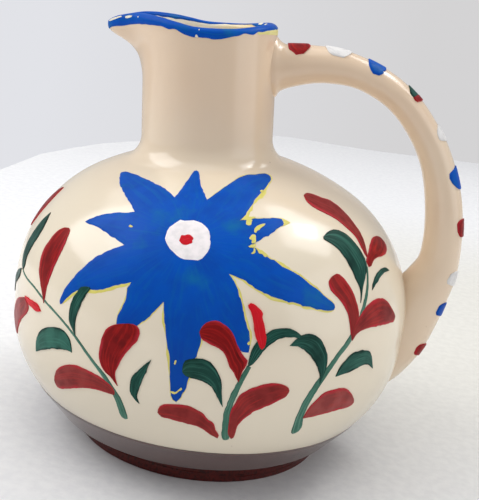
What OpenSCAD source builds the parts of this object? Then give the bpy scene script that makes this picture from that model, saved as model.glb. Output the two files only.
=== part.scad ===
// Round-bellied glazed jug with a short leaning neck, a pulled pouring lip, a hollow loop handle
// and brush-painted flowers. Millimetres, +Z up, foot on Z = 0, lip towards -X, handle towards +X.

/* [Belly] */
// Widest radius of the belly
belly_r = 80; // [64:1:100]
// Height of the widest part above the table
equator_z = 59.4; // [52:0.2:70]
// Radius of the shoulder curve above the widest part
shoulder_r = 53.4; // [48:0.2:57]
// Angle up the shoulder where the flatter cap takes over
shoulder_turn = 60.6; // [57:0.2:64]
// Radius of the curve under the belly
under_r = 44; // [40:0.5:47]
// Angle down the under curve where the straight heel takes over
heel_turn = 39; // [35:0.5:43]
// Height of the upright part of the belly's side
upright_h = 9.5; // [7:0.5:12]
// Thickness of the ceramic wall
wall_t = 4; // [3:0.1:5]
// Thickness of the floor
floor_t = 4.5; // [3.5:0.1:7]

/* [Foot] */
// Height of the foot ring
foot_h = 10.2; // [7:0.2:11]
// Width of the foot ring
foot_w = 8; // [5:0.5:12]
// Step from the belly's lower edge in to the foot
foot_step = 8.3; // [4:0.1:11]
// Bevel on the foot's outer edges
foot_bevel = 0.5; // [0.3:0.1:1.5]

/* [Neck] */
// Outer radius of the neck
neck_r = 26.1; // [22:0.1:30]
// Rise of the rim above the top of the belly's cap
neck_h = 50; // [42:0.5:60]
// Lean of the neck towards the lip, in degrees
neck_lean = 5.2; // [0:0.1:8]
// Radius of the flare where the neck springs from the belly
flare_r = 10; // [7:0.5:12]
// Width of the belly's cap that belongs to the neck, beyond the flare
collar_w = 3; // [2:0.2:5]

/* [Pouring lip] */
// Reach of the lip's tip beyond the neck
lip_reach = 13.8; // [10:0.2:18]
// Drop of the lip's tip below the rim
lip_drop = 7.7; // [5:0.1:10]
// Depth of the throat below the rim
lip_depth = 22; // [18:0.5:26]
// Half-angle of the lip's beak
lip_angle = 25; // [20:0.5:28]
// Radius of the beak at its tip
lip_tip_r = 7; // [5:0.2:9]
// Radius of the beak at its root inside the neck
lip_root_r = 20; // [17:0.2:21]
// Thickness of the lip's wall
lip_t = 3.5; // [2.5:0.1:4.5]

/* [Handle] */
// Thickness of the handle, seen from the side
handle_t = 13.5; // [11:0.1:16]
// Width of the handle, seen from behind
handle_w = 16.5; // [14:0.1:20]
// Diameter of the passage inside the handle
handle_bore = 6.5; // [5:0.1:8]
// Reach of the handle's back beyond the belly
handle_reach = 17.4; // [14:0.2:21]
// Drop of the handle's top below the rim
handle_drop = 5.8; // [5:0.2:9]
// Rise of the handle where it leaves the neck, in degrees
handle_rise = 7.7; // [3:0.1:12]
// Radius of the handle's upper bend
bend_r = 50.6; // [46:0.2:54]
// Direction from the bend's centre in which the bend ends
bend_end = 31.4; // [26:0.2:36]
// Radius of the handle's long back
back_r = 92.3; // [85:0.5:100]
// Direction below level in which the back ends
back_end = 24; // [20:0.5:28]
// Radius of the tail that turns into the belly
tail_r = 28; // [24:0.5:32]
// Fillet of the luting around the handle's upper root
root_fillet = 4; // [2:0.2:6]
// Rise of the web in the handle's lower crook above the widest part
crook_rise = 27; // [22:0.5:30]
// Width of the web in the handle's lower crook
crook_w = 11; // [7:0.5:14]
// Clearance between the handle's lower root and the brown dip
root_gap = 0.8; // [0.4:0.1:1.4]

/* [Coats] */
// Thickness of one coat of enamel
coat_t = 0.3; // [0.2:0.05:0.5]
// Height of the brown dip's upper edge above the table
dip_z = 22.7; // [16:0.2:30]
// Depth of the enamel band at the rim
rim_band = 4; // [2:0.2:5.5]
// Diameter of a spot on the handle
spot_d = 9; // [6:0.2:11]
// Clearance between the first spot and the handle's upper luting
spot_gap = 0.8; // [0.4:0.1:2]

/* [Star flower] */
// Number of petals
petal_n = 10; // [6:2:14]
// Length of the long petals
petal_long = 49; // [40:0.5:52]
// Length of the short petals
petal_short = 37.5; // [30:0.5:42]
// Radius of the notch between petals
petal_notch = 22; // [16:0.5:26]
// Direction of the first long petal, in degrees
petal_turn = 139; // [0:1:360]
// Bare gap between the star and the sprigs
star_gap = 0.5; // [0.2:0.1:2]
// Shift of the pale coat under the petals
under_shift = 1; // [0.4:0.1:2]
// Diameter of the flower's eye
eye_d = 17; // [10:0.5:22]
// Diameter of the pip in the eye
pip_d = 5; // [3:0.2:8]

/* [Sprigs] */
// Thickness of a stem
stem_t = 1.4; // [0.8:0.1:2.5]
// Bulge of a leaf's back, as a part of its length
leaf_back = 0.27; // [0.18:0.01:0.34]
// Bulge of a leaf's front, as a part of its length
leaf_front = 0.1; // [0.06:0.01:0.16]

/* [Hidden] */
$fn = 96;

// Small overlap that keeps neighbouring curves crossing rather than just touching
bite = 0.03;
far = 4 * belly_r;
side_r = belly_r - bite;
cap_r = shoulder_r + (belly_r - shoulder_r) / cos(shoulder_turn);
cap_z = equator_z - (belly_r - shoulder_r) * tan(shoulder_turn);
rim_z = cap_z + cap_r + neck_h;
under_z = equator_z - upright_h;
function heel_x(t, z) =
    belly_r - under_r + (under_r - t - bite - (under_z - z) * sin(heel_turn)) / cos(heel_turn);
foot_r = heel_x(0, foot_h) - foot_step;

// Neck, in its own frame: Z along the neck, origin at the centre of the belly's cap
flare_x = neck_r + flare_r - bite;
flare_z = sqrt(pow(cap_r + flare_r - bite, 2) - pow(flare_x, 2));
collar_turn = atan(flare_x / flare_z) + collar_w / cap_r * 180 / PI;
paint_turn = atan(flare_x / flare_z) + 1;
neck_top = cap_r + neck_h + neck_r;

// Pouring lip, in the plane through the lip and the handle
function neck_x(z) = -(z - cap_z) * tan(neck_lean);
function neck_left(z) = neck_x(z) - neck_r / cos(neck_lean);
tip_x = neck_left(rim_z) - lip_reach;
tip_z = rim_z - lip_drop;
throat_z = rim_z - lip_depth;
throat_x = neck_left(throat_z);
throat_turn = atan2(tip_z - throat_z, throat_x - tip_x);
lip_turn = throat_turn - lip_angle;
point_x = tip_x - lip_tip_r / sin(lip_angle) * cos(throat_turn);
point_z = tip_z + lip_tip_r / sin(lip_angle) * sin(throat_turn);
lip_len = lip_root_r / tan(lip_angle);
knee_x = neck_left(rim_z) + neck_r / 4;

// Handle path, in the same plane: lead, bend, back and tail
back_x = belly_r + handle_reach - handle_t / 2 - back_r;
bend_x = back_x + (back_r - bend_r) * cos(bend_end);
bend_z = rim_z - handle_drop - handle_t / 2 - bend_r;
back_z = bend_z - (back_r - bend_r) * sin(bend_end);
tail_x = back_x + (back_r - tail_r) * cos(back_end);
tail_z = back_z - (back_r - tail_r) * sin(back_end);
tail_turn = 60;
lead_x = bend_x - bend_r * sin(handle_rise);
lead_z = bend_z + bend_r * cos(handle_rise);
lead_len = (lead_x - neck_x(lead_z) - neck_r) / cos(handle_rise) + 1.6 * wall_t;
crook_z = equator_z + crook_rise;
crook_in = belly_r - shoulder_r + sqrt(pow(shoulder_r, 2) - pow(crook_rise, 2));
crook_out = back_x + sqrt(pow(back_r - handle_t / 2, 2) - pow(crook_z - back_z, 2));
crook_x = (crook_in + crook_out) / 2;
crook_r = (crook_out - crook_in) / 2 + 0.4;

// Drawing planes of the painting: azimuth from the front and tilt above level
star_at = [-6.4, 40];
star_v = -0.151 * belly_r;
right_at = [47, 25];
middle_at = [10, 5];
left_at = [-42, 15];

// Stems: foot across, foot up, direction, length and bow, the lengths as parts of the belly's radius
right_stem = [-0.263, -0.675, 59.7, 0.767, -0.025];
middle_stem = [0.029, -0.432, 79, 0.469, 0.031];
left_stem = [0.434, -0.54, 152.7, 1.1, -0.075];

// Leaves: place along the stem, angle off the stem, length as a part of the belly's radius
right_red = [[1.05, 53, 0.362], [0.98, -41, 0.312], [0.56, 48, 0.275], [0.56, -55, 0.35], [0.06, -46, 0.25]];
right_green = [[0.86, 52, 0.287], [0.88, -41, 0.212], [0.33, -52, 0.237], [0.27, 74, 0.237]];
middle_red = [[1, 37, 0.175], [0.62, 52, 0.287], [0.02, -33, 0.35], [0.04, 83, 0.287]];
middle_green = [[0.88, -54, 0.25], [0.34, 57, 0.25]];
left_red = [[1.04, -95, 0.275], [0.53, -57, 0.35], [0.68, 85, 0.25], [0.08, -76, 0.275], [0.06, 37, 0.338]];
left_green = [
    [0.78, -62, 0.287], [0.86, 78, 0.175], [0.29, 48, 0.275], [0.31, -66, 0.225], [0.01, -72, 0.212]
];

// Spots: places along the bend, from its end up to the luting, and down along the back
luting_x = neck_x(lead_z) + neck_r / cos(neck_lean) + root_fillet;
spot_turn = acos((luting_x + spot_gap + spot_d / 2 - bend_x) / (bend_r + handle_t / 2));
spots_red = [[1], [0.4, 0.99]];
spots_white = [[0.79], [0, 0.62]];
spots_blue = [[0.55], [0.19, 0.8]];
spots_green = [[0.3], []];

// Belly's half-section, drawn in by t and starting at height z0
module belly_2d(t, z0) {
    heel_z = under_z - (under_r - t) * sin(heel_turn);
    polygon([[0, z0], [heel_x(t, z0), z0], [heel_x(t, heel_z), heel_z], [0, heel_z]]);
    intersection() {
        translate([side_r - shoulder_r, equator_z]) circle(shoulder_r - t);
        translate([0, equator_z]) square(far);
    }
    intersection() {
        translate([0, cap_z]) circle(cap_r - t - 2 * bite);
        translate([0, cap_z])
            polygon([[0, 0], far * [cos(shoulder_turn), sin(shoulder_turn)], [0, far]]);
    }
    translate([0, under_z - 1]) square([side_r - t, upright_h + 1]);
    intersection() {
        translate([belly_r - under_r, under_z]) circle(under_r - t);
        translate([0, z0]) square([far, equator_z - z0]);
    }
    translate([0, z0]) square([belly_r - under_r, equator_z - z0]);
}

// Neck's half-section with its flare and collar, drawn in by t
module neck_2d(t) {
    intersection() {
        circle(cap_r - t - 2 * bite);
        polygon([[0, 0], far * [sin(collar_turn), cos(collar_turn)], [0, far]]);
    }
    translate([0, 0.85 * cap_r]) square([neck_r - t, neck_top - 0.85 * cap_r]);
    difference() {
        polygon([[0, 0], [flare_x, flare_z], [0, flare_z]]);
        translate([flare_x, flare_z]) circle(flare_r + t);
    }
}

module on_neck() {
    translate([0, 0, cap_z]) rotate([0, -neck_lean, 0]) children();
}

module neck_form(t) {
    on_neck() rotate_extrude() neck_2d(t);
}

module belly_form(t, z0) {
    rotate_extrude() belly_2d(t, z0);
}

// Cone about the neck, from the centre of the belly's cap
module neck_cone(turn) {
    reach = cap_r + flare_r;
    on_neck() cylinder(h = reach, r1 = 0, r2 = reach * tan(turn));
}

// Beak of the lip, drawn in by t
module beak(t) {
    translate([point_x, 0, point_z]) rotate([0, 90 + lip_turn, 0])
        translate([0, 0, t / sin(lip_angle)])
            cylinder(h = lip_len - t / sin(lip_angle), r1 = 0, r2 = lip_root_r - t / cos(lip_angle));
}

// All that lies under the rim, raised by d
module under_rim(d) {
    slope = lip_drop / (knee_x - tip_x);
    rotate([90, 0, 0]) linear_extrude(far, center = true)
        polygon([
            [-far, 0], [far, 0], [far, rim_z + d], [knee_x, rim_z + d],
            [-far, rim_z + d - slope * (knee_x + far)]
        ]);
}

// Section of the handle, or of the passage in it, grown by t
module rod_2d(t, hollow) {
    spread = (handle_w - handle_t) / 2;
    if (hollow) {
        circle(handle_bore / 2 + t);
    } else {
        square([handle_t + 2 * t - bite, 2 * spread], center = true);
        for (s = [-1, 1]) translate([0, s * spread]) circle(handle_t / 2 + t);
    }
}

module arc(cx, cz, r, from, to) {
    translate([cx, 0, cz]) rotate([0, -to, 0]) rotate([90, 0, 0])
        rotate_extrude(angle = from - to) translate([r, 0]) children();
}

// Lead, bend, back and tail: the lead and the back run a little way into the fuller bend and tail
module along_handle(t, hollow, more) {
    fuller = t + 2 * bite;
    lap = 0.4;
    lap_turn = lap / back_r * 180 / PI;
    arc(bend_x, bend_z, bend_r, 90 + handle_rise, bend_end) rod_2d(fuller, hollow);
    arc(back_x, back_z, back_r, bend_end + lap_turn, -back_end - lap_turn) rod_2d(t, hollow);
    arc(tail_x, tail_z, tail_r, -back_end, -back_end - tail_turn) rod_2d(fuller, hollow);
    translate([lead_x, 0, lead_z]) rotate([0, -90 - handle_rise, 0])
        translate([0, 0, -lap]) linear_extrude(lead_len + more + lap) rod_2d(t, hollow);
}

module handle_form(t) {
    along_handle(t, false, 0);
}

module passage() {
    along_handle(0, true, 2 * wall_t);
}

// Drawing carried outwards from the belly's middle
module drawn(at) {
    translate([0, 0, equator_z]) rotate([90 - at[1], 0, at[0]]) linear_extrude(far / 2) children();
}

// One coat over the belly, from height a to height b above the ceramic, where the children are drawn
module coat(a, b, at) {
    difference() {
        intersection() {
            difference() {
                belly_form(-b, foot_h);
                belly_form(-a, foot_h);
            }
            drawn(at) children();
        }
        neck_cone(paint_turn);
    }
}

module star_2d(shift, grow = 0) {
    pitch = 360 / petal_n;
    translate([shift, star_v - shift / 2])
        polygon([
            for (i = [0 : 2 * petal_n - 1])
                let (r = i % 2 == 1 ? petal_notch : i % 4 == 0 ? petal_long : petal_short)
                (r + grow) * [cos(petal_turn - i * pitch / 2), sin(petal_turn - i * pitch / 2)]
        ]);
}

// Coat of a sprig, which stops short of the star
module sprig(at) {
    difference() {
        coat(0, coat_t, at) children();
        drawn(star_at) star_2d(under_shift / 2, under_shift + star_gap);
    }
}

// Pointed brush mark along +X: two arcs with their own bulges
module mark_2d(len, back, front) {
    back_rad = (len * len / 4 + back * back) / (2 * back);
    front_rad = (len * len / 4 + front * front) / (2 * front);
    intersection() {
        translate([len / 2, back - back_rad]) circle(back_rad);
        translate([len / 2, front_rad - front]) circle(front_rad);
    }
}

// Bowed stem that tapers towards its tip
module stem_2d(s) {
    steps = 12;
    function half(f) = stem_t * (1 - 0.6 * f) / 2;
    function at(f, side) = belly_r * [s[3] * f, 4 * s[4] * f * (1 - f)] + [0, side * half(f)];
    translate(belly_r * [s[0], s[1]]) rotate(s[2]) polygon(concat(
        [for (i = [0 : steps]) at(i / steps, -1)],
        [for (i = [steps : -1 : 0]) at(i / steps, 1)]
    ));
}

module leaves_2d(s, rows) {
    for (r = rows) {
        len = belly_r * r[2];
        along = belly_r * [s[3] * r[0], 4 * s[4] * r[0] * max(0, 1 - r[0])];
        translate(belly_r * [s[0], s[1]]) rotate(s[2]) translate(along)
            rotate(r[1]) mirror([0, r[1] < 0 ? 1 : 0]) mark_2d(len, leaf_back * len, leaf_front * len);
    }
}

module spots(rows) {
    intersection() {
        difference() {
            handle_form(coat_t);
            handle_form(0);
        }
        union() {
            for (f = rows[0])
                translate([bend_x, 0, bend_z]) rotate([0, 90 - bend_end - f * (spot_turn - bend_end), 0])
                    translate([0, 0, bend_r]) cylinder(d = spot_d, h = handle_t);
            for (f = rows[1])
                translate([back_x, 0, back_z]) rotate([0, 90 - bend_end + f * (bend_end + back_end), 0])
                    translate([0, 0, back_r]) cylinder(d = spot_d, h = handle_t);
        }
    }
}

module foot_ring() {
    color("#3a1712") rotate_extrude() polygon([
        [foot_r - foot_w, 0], [foot_r - foot_bevel, 0], [foot_r, foot_bevel],
        [foot_r, foot_h], [foot_r - foot_w, foot_h]
    ]);
}

module belly_bowl() {
    color("#e6dccb") difference() {
        rotate_extrude() intersection() {
            difference() {
                belly_2d(0, foot_h);
                belly_2d(wall_t, foot_h + floor_t);
            }
            square([far, equator_z]);
        }
        passage();
    }
}

module shoulder_dome() {
    color("#e6dccb") difference() {
        rotate_extrude() intersection() {
            difference() {
                belly_2d(0, foot_h);
                belly_2d(wall_t, foot_h + floor_t);
            }
            translate([0, equator_z]) square(far);
        }
        neck_cone(collar_turn);
    }
}

module neck() {
    color("#dcc7b0") difference() {
        intersection() {
            difference() {
                neck_form(0);
                neck_form(wall_t);
            }
            under_rim(0);
        }
        beak(lip_t);
        passage();
    }
}

module pouring_lip() {
    color("#dcc7b0") difference() {
        intersection() {
            beak(0);
            under_rim(0);
        }
        beak(lip_t);
        neck_form(0);
    }
}

module handle_tube() {
    color("#d8c3a8") difference() {
        handle_form(0);
        passage();
        belly_form(0, foot_h);
        translate([-far, -far, dip_z + root_gap - 2 * far]) cube(2 * far);
        neck_form(0);
    }
}

module upper_handle_luting() {
    r0 = handle_w / 2 + bite;
    deep = 1.6 * wall_t;
    color("#d8c3a8") difference() {
        translate([lead_x, 0, lead_z]) rotate([0, -90 - handle_rise, 0])
            translate([0, 0, lead_len]) mirror([0, 0, 1]) rotate_extrude() difference() {
                square([r0 + root_fillet, deep + root_fillet]);
                translate([r0 + root_fillet, deep + root_fillet]) circle(root_fillet);
            }
        neck_form(0);
        handle_form(0);
        passage();
    }
}

module lower_handle_luting() {
    color("#d8c3a8") difference() {
        rotate([90, 0, 0]) linear_extrude(crook_w, center = true) difference() {
            translate([crook_x - 3 * crook_r, equator_z - upright_h / 2])
                square([4.2 * crook_r, crook_rise + upright_h / 2]);
            translate([crook_x, crook_z]) circle(crook_r);
        }
        belly_form(0, foot_h);
        handle_form(0);
    }
}

module brown_dip() {
    color("#4a2620") rotate_extrude() intersection() {
        difference() {
            belly_2d(-coat_t, foot_h);
            belly_2d(0, foot_h);
        }
        translate([0, foot_h]) square([far, dip_z - foot_h]);
    }
}

module rim_enamel() {
    color("#1450b4") difference() {
        intersection() {
            union() {
                neck_form(-coat_t);
                beak(-coat_t);
            }
            under_rim(coat_t);
        }
        under_rim(-rim_band);
        intersection() {
            union() {
                neck_form(0);
                beak(0);
            }
            under_rim(0);
        }
        neck_form(wall_t);
        beak(lip_t);
    }
}

module star_undercoat() {
    color("#e0d878") coat(0, coat_t, star_at) star_2d(under_shift);
}

module star_petals() {
    color("#1450b4") coat(coat_t, 2 * coat_t, star_at) star_2d(0);
}

module star_eye() {
    color("#eceaea") coat(2 * coat_t, 3 * coat_t, star_at) translate([0, star_v]) circle(d = eye_d);
}

module star_pip() {
    color("#c01c24") coat(3 * coat_t, 4 * coat_t, star_at) translate([0, star_v]) circle(d = pip_d);
}

module red_leaves() {
    color("#96242c") {
        sprig(right_at) leaves_2d(right_stem, right_red);
        sprig(middle_at) leaves_2d(middle_stem, middle_red);
        sprig(left_at) leaves_2d(left_stem, left_red);
    }
}

module green_leaves() {
    color("#1f5546") {
        sprig(right_at) leaves_2d(right_stem, right_green);
        sprig(middle_at) leaves_2d(middle_stem, middle_green);
        sprig(left_at) leaves_2d(left_stem, left_green);
    }
}

module leaf_stems() {
    color("#4f7f70") {
        sprig(right_at) stem_2d(right_stem);
        sprig(middle_at) stem_2d(middle_stem);
        sprig(left_at) stem_2d(left_stem);
    }
}

module handle_spots_red() {
    color("#b41e2c") spots(spots_red);
}

module handle_spots_white() {
    color("#eceaea") spots(spots_white);
}

module handle_spots_blue() {
    color("#1450b4") spots(spots_blue);
}

module handle_spots_green() {
    color("#1f5546") spots(spots_green);
}

foot_ring();
belly_bowl();
shoulder_dome();
neck();
pouring_lip();
handle_tube();
upper_handle_luting();
lower_handle_luting();
brown_dip();
rim_enamel();
star_undercoat();
star_petals();
star_eye();
star_pip();
red_leaves();
green_leaves();
leaf_stems();
handle_spots_red();
handle_spots_white();
handle_spots_blue();
handle_spots_green();
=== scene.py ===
"""Looks of a round-bellied, hand-painted earthenware jug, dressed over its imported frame.

Laid out as an add-on: sizes and colours are scene properties, and each operator makes one piece or
one group of pieces. The tables below are in millimetres unless they say otherwise.
"""

import math

import bpy
from bpy.props import FloatProperty, FloatVectorProperty, PointerProperty
from mathutils import Euler, Matrix, Vector, noise


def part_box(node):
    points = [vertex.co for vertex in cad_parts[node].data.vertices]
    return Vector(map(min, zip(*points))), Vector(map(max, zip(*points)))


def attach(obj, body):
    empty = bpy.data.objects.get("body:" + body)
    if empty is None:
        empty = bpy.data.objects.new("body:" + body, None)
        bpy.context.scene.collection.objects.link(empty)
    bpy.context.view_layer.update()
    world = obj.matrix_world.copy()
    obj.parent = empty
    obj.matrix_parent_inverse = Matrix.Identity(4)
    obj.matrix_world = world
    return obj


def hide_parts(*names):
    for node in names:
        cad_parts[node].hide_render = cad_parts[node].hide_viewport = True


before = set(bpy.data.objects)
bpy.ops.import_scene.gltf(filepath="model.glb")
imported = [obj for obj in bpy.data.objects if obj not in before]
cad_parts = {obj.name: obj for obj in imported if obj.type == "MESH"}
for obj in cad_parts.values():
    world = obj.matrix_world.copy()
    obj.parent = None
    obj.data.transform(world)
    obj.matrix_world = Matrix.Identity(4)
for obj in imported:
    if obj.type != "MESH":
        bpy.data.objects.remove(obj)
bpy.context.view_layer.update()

bl_info = {
    "name": "Painted jug",
    "version": (1, 0, 0),
    "blender": (4, 5, 0),
    "location": "3D View > Sidebar > Jug",
    "description": "Glazed body, loop handle and brush-painted flowers of an earthenware jug",
    "category": "Object",
}

MM = 0.001
TURN_STEPS = 192  # faces round a thrown piece
HANDLE_STEPS = (200, 48)  # faces along the handle and round it
DIP_ROWS = 15  # faces up the brown dip
BAND_ROWS = 16  # faces across the rim's band
PETAL_ROWS, HEART_COLUMNS = 12, 16  # faces across a petal, and along its share of the heart
DAB_CELLS = 14  # faces along and across a dab
COAT_CELL = 1.1  # size of one face of any other mark
HALF_STEPS = 18  # points along each half of a closed outline
SHARP = math.radians(40)  # edges that turn further than this are shaded sharp
DRAWING_AWAY = 0.25  # metres, where a flat drawing waits before it is laid on the jug

# Coats: how thick each one lies in its middle and at its edge.
COATS = {
    "dip": (0.28, 0.08), "blue": (0.25, 0.08), "smear": (0.1, 0.05), "undercoat": (0.1, 0.04),
    "chip": (0.33, 0.29), "eye": (0.42, 0.29), "pip": (0.6, 0.47), "green": (0.32, 0.28),
    "red": (0.4, 0.29), "bright": (0.5, 0.42), "stem": (0.2, 0.06), "dab": (0.4, 0.12),
    "red_dab": (0.5, 0.12),
}
COAT_STEP = 0.005 * MM  # how far each leaf lies over the last
SKIN = 0.02 * MM  # gap under a coat that is wrapped round the jug
HANDLE_THIN = 0.65  # how thin the cream glaze lies on the handle
FOOT_WIDE, FOOT_EASE = 8 * MM, 0.4 * MM  # width of the foot ring, easing of its edges

# How far the hand strays: the edges of petals and of other marks, the rim's band, the dip line.
PETAL_RAGGED, MARK_RAGGED = 0.45, 0.25
RIM_WAVER, DIP_WANDER = 0.35, 0.5 * MM
SHAKES = ((0.55, 7, 1.0), (1.3, 1, 0.5))  # waves in an edge: pitch, seed and size

# Marks are drawn on flat sheets that face the belly: turn from the front and tilt up, degrees.
STAR_SHEET = (-6.4, 40.0)
LEFT_SHEET = (-42.0, 15.0)
RIGHT_SHEET = (47.0, 25.0)
MIDDLE_SHEET = (10.0, 5.0)
EYE_AT = (0.0, -11.5)
EYE_WASH, SMEAR_WASH = 0.9, 0.7  # how thin the eye's white and the rim's yellow lie
STEM_END = (0, 0.002, 0.006, 0.014, 0.028)  # shares of a stem's length along its round end

# Each petal from the eye: its left side from notch to tip, then its right side between the next
# petal's notch and that tip.
PETALS = [
    ([(-22.2, 9.1), (-24.5, 12), (-27.9, 16.1), (-31.3, 20.6), (-33.5, 23.9), (-34.9, 27.4),
      (-35.7, 30.4), (-34.8, 31.2)],
     [(-11.6, 19.3), (-14.9, 21.9), (-19.3, 24.2), (-24.8, 26.9), (-29, 29.2), (-32.4, 30.7)]),
    ([(-10, 17.9), (-9.1, 21.3), (-8.3, 25.8), (-8, 30.6), (-7.5, 33.5), (-6.6, 34.2)],
     [(-1, 23.6), (-2.9, 27.1), (-4.3, 30.3), (-5.5, 33.5)]),
    ([(1.6, 19.2), (3.2, 22.1), (5.9, 27.7), (7.4, 30.8), (8.6, 33.3), (10.2, 36.2), (11.8, 37.6),
      (13.8, 39), (15.8, 40.4), (17.3, 41.6), (18.6, 41.7), (19.7, 40.7), (20.4, 39.3)],
     [(16, 14.8), (16.5, 16.5), (17, 19.2), (17.4, 22.1), (17.9, 24.9), (18.8, 27.7), (19.3, 30.1),
      (19.9, 32.7), (20.3, 35.8), (20.5, 38)]),
    ([(15.2, 13), (16.7, 14.3), (18.7, 15.1), (21, 15.8), (23.4, 16.9), (25.7, 17.9), (28.3, 18.8),
      (29, 18.3), (29.8, 16.9)],
     [(21.8, 4.5), (22.6, 5.6), (23.4, 6.6), (24.5, 8.1), (26, 9.6), (27.1, 11.4), (27.8, 13.1),
      (29, 15.1), (29.9, 16.2)]),
    ([(20.3, 3), (22.8, 2.9), (25.5, 2), (27.8, 1.1), (30.5, 0.3), (32.7, -0.3), (35, -1),
      (37.2, -1.1), (39.5, -2), (41.8, -2.7), (43.7, -3.4), (45.6, -3.7), (47.2, -4.5),
      (49.2, -5.3), (51.1, -5.7), (52.3, -6.2), (52.8, -7.1)],
     [(18, -9), (19.8, -9.2), (21.7, -9.6), (23.5, -10.3), (25.8, -11.2), (28, -11.6), (30.5, -12),
      (32.6, -12.2), (35.1, -12.1), (39.9, -11.5), (45.1, -10.9), (47.6, -10.4), (50, -9.7),
      (51.7, -8.9), (52.6, -8.1)]),
    ([(16.2, -8.8), (19, -11.5), (20.8, -14.3), (22.5, -17.6), (24.2, -21.5), (25.7, -24),
      (26.9, -26.6), (27.5, -29.3), (27.4, -31.3)],
     [(15.1, -28.3), (19.2, -29.8), (23.2, -31), (25.8, -31.6)]),
    ([(12.3, -27.2), (11.2, -29.7), (11.5, -33.3), (10.6, -36.9), (9.4, -41.8), (8.6, -45.7),
      (7.5, -48.5), (5.9, -50.4)],
     [(-1.9, -27.9), (-0.2, -33.3), (1.6, -38.4), (2.7, -43.6), (3.6, -48.2), (4.4, -49.8)]),
    ([(-3.2, -22.5), (-4.5, -24.2), (-6.5, -26.9), (-8.7, -29.2), (-10.8, -30.9), (-13.5, -32.8),
      (-15.7, -33.9)],
     [(-16.8, -20.3), (-16.5, -22.7), (-17.3, -25.8), (-18.4, -28.8), (-18.3, -31.7),
      (-17.4, -33.5)]),
    ([(-15.9, -17.7), (-17.9, -18.5), (-22.5, -19.8), (-26.5, -21.1), (-30.5, -21.2),
      (-34.6, -21.3), (-37.3, -22.3), (-39.6, -23.8), (-41.2, -25.5), (-42.2, -25.6)],
     [(-24.1, -5.8), (-27.2, -7.4), (-31, -9.6), (-34.6, -12.8), (-37.5, -16), (-39.6, -18.5),
      (-41.4, -21.3), (-42.6, -24.2)]),
    ([(-21.9, -4.9), (-24, -3.6), (-28.3, -1.5), (-32.8, 1.1), (-36.4, 2.7), (-38.9, 3.6),
      (-40.4, 4.4)],
     [(-25.7, 8.6), (-29.3, 8.2), (-34.2, 7.3), (-38.3, 5.7), (-39.6, 5)]),
]

# How far the yellow undercoat shows beside each petal's two sides and past its tip.
UNDERCOAT = [(-0.4, -0.4, -0.6), (-0.4, -0.4, -0.6), (0.5, 1.8, 0.9), (0.5, -0.3, 2.6),
             (0.9, 1.0, 0.1), (1.2, 0.1, 0.0), (0.5, 0.8, 0.1), (0.6, 0.5, -0.3),
             (1.5, -0.3, -0.3), (-0.4, -0.4, -0.6)]

# Outlines of the eye and the pip in it, measured from the middle of the flower.
EYE = [(-8, -0.8), (-8, 0.9), (-8, 2.2), (-7.4, 4.4), (-6.1, 6), (-5.1, 7.4), (-4.2, 7.8),
       (-2.6, 7.5), (-1.4, 8.2), (0, 8.4), (1.5, 7.9), (2.5, 8), (3.8, 7.2), (5.1, 6.2),
       (6.1, 5.1), (6.9, 2.8), (7.3, 0.9), (7.8, -1), (7.7, -2.4), (7.1, -4.2), (6, -6.1),
       (4.9, -6.8), (3.5, -6.9), (1.9, -7.2), (0.2, -7.2), (-1.4, -6.8), (-2.8, -6.2),
       (-3.7, -5.3), (-5.1, -4.7), (-6.4, -3.2), (-7.4, -1.9)]
PIP = [(-2.9, -0.9), (-2.9, 0), (-2.6, 1.3), (-1.6, 1.5), (-0.7, 2.2), (0.7, 1.9), (1.7, 0.8),
       (1.4, 0.1), (1.7, -0.8), (0.9, -1.5), (0, -2), (-1.1, -2), (-2, -1.7)]

# Outlines of the places where the blue has flaked down to the yellow; the last is a painted glint.
FLAKES_AND_GLINT = [
    [(17.2, 13), (17.6, 14.1), (18.4, 14.6), (19.3, 13.9), (18.9, 13.1), (19.2, 12), (18.6, 11.3),
     (17.6, 11.7)],
    [(20.7, 10.6), (21.2, 12), (22.2, 13.1), (23.8, 14.2), (23.4, 12.8), (22.7, 11.8),
     (22.5, 10.8), (21.8, 10.1), (21.5, 9), (20.9, 9.2)],
    [(19.8, 6), (20.1, 7.2), (20.6, 8.1), (21.7, 8), (21.8, 7.1), (22.2, 6.2), (22.3, 5.3),
     (21.7, 4.7), (21, 4.7), (20.9, 5.5)],
    [(21.8, 0.5), (22.2, 1.7), (22.3, 2.8), (22.9, 2.1), (22.9, 1.1), (22.1, 0.4)],
    [(22.8, 3.1), (23.9, 2.9), (25.3, 2.8), (26, 2), (26.8, 1.8), (27.1, 1.3), (26.7, 0.7),
     (26, 1.1), (25.3, 1.5), (24.2, 1.3), (23.7, 2.2)],
    [(15.2, 12.8), (16, 14.2), (18.2, 15.5), (19.9, 15.9), (19, 14.6), (16.9, 13.5)],
    [(20.2, 2.9), (21.2, 3.8), (22.5, 4.6), (22.4, 3.4), (21.1, 2.6)],
    [(18.3, 30), (18.8, 30.7), (19.5, 30.3), (18.7, 29.3)],
    [(3.6, -47.7), (4.5, -47.6), (5.2, -47.7), (6.2, -46.9), (7.1, -46.1), (7.4, -46.5),
     (6.4, -47.3), (5.4, -48.2), (4.6, -48.1), (3.7, -48)],
    [(3.6, -39.9), (3.8, -39.1), (4.3, -38.9), (4.2, -39.5), (3.9, -40.1)],
    [(26.4, -28.8), (26.7, -28.3), (27.2, -28), (27.3, -29), (26.8, -29.2)],
    # A painted glint, drawn in the flakes' yellow.
    [(-22.4, 2.5), (-21.9, 3.1), (-20.7, 2.5), (-21.4, 2.1)],
]

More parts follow.
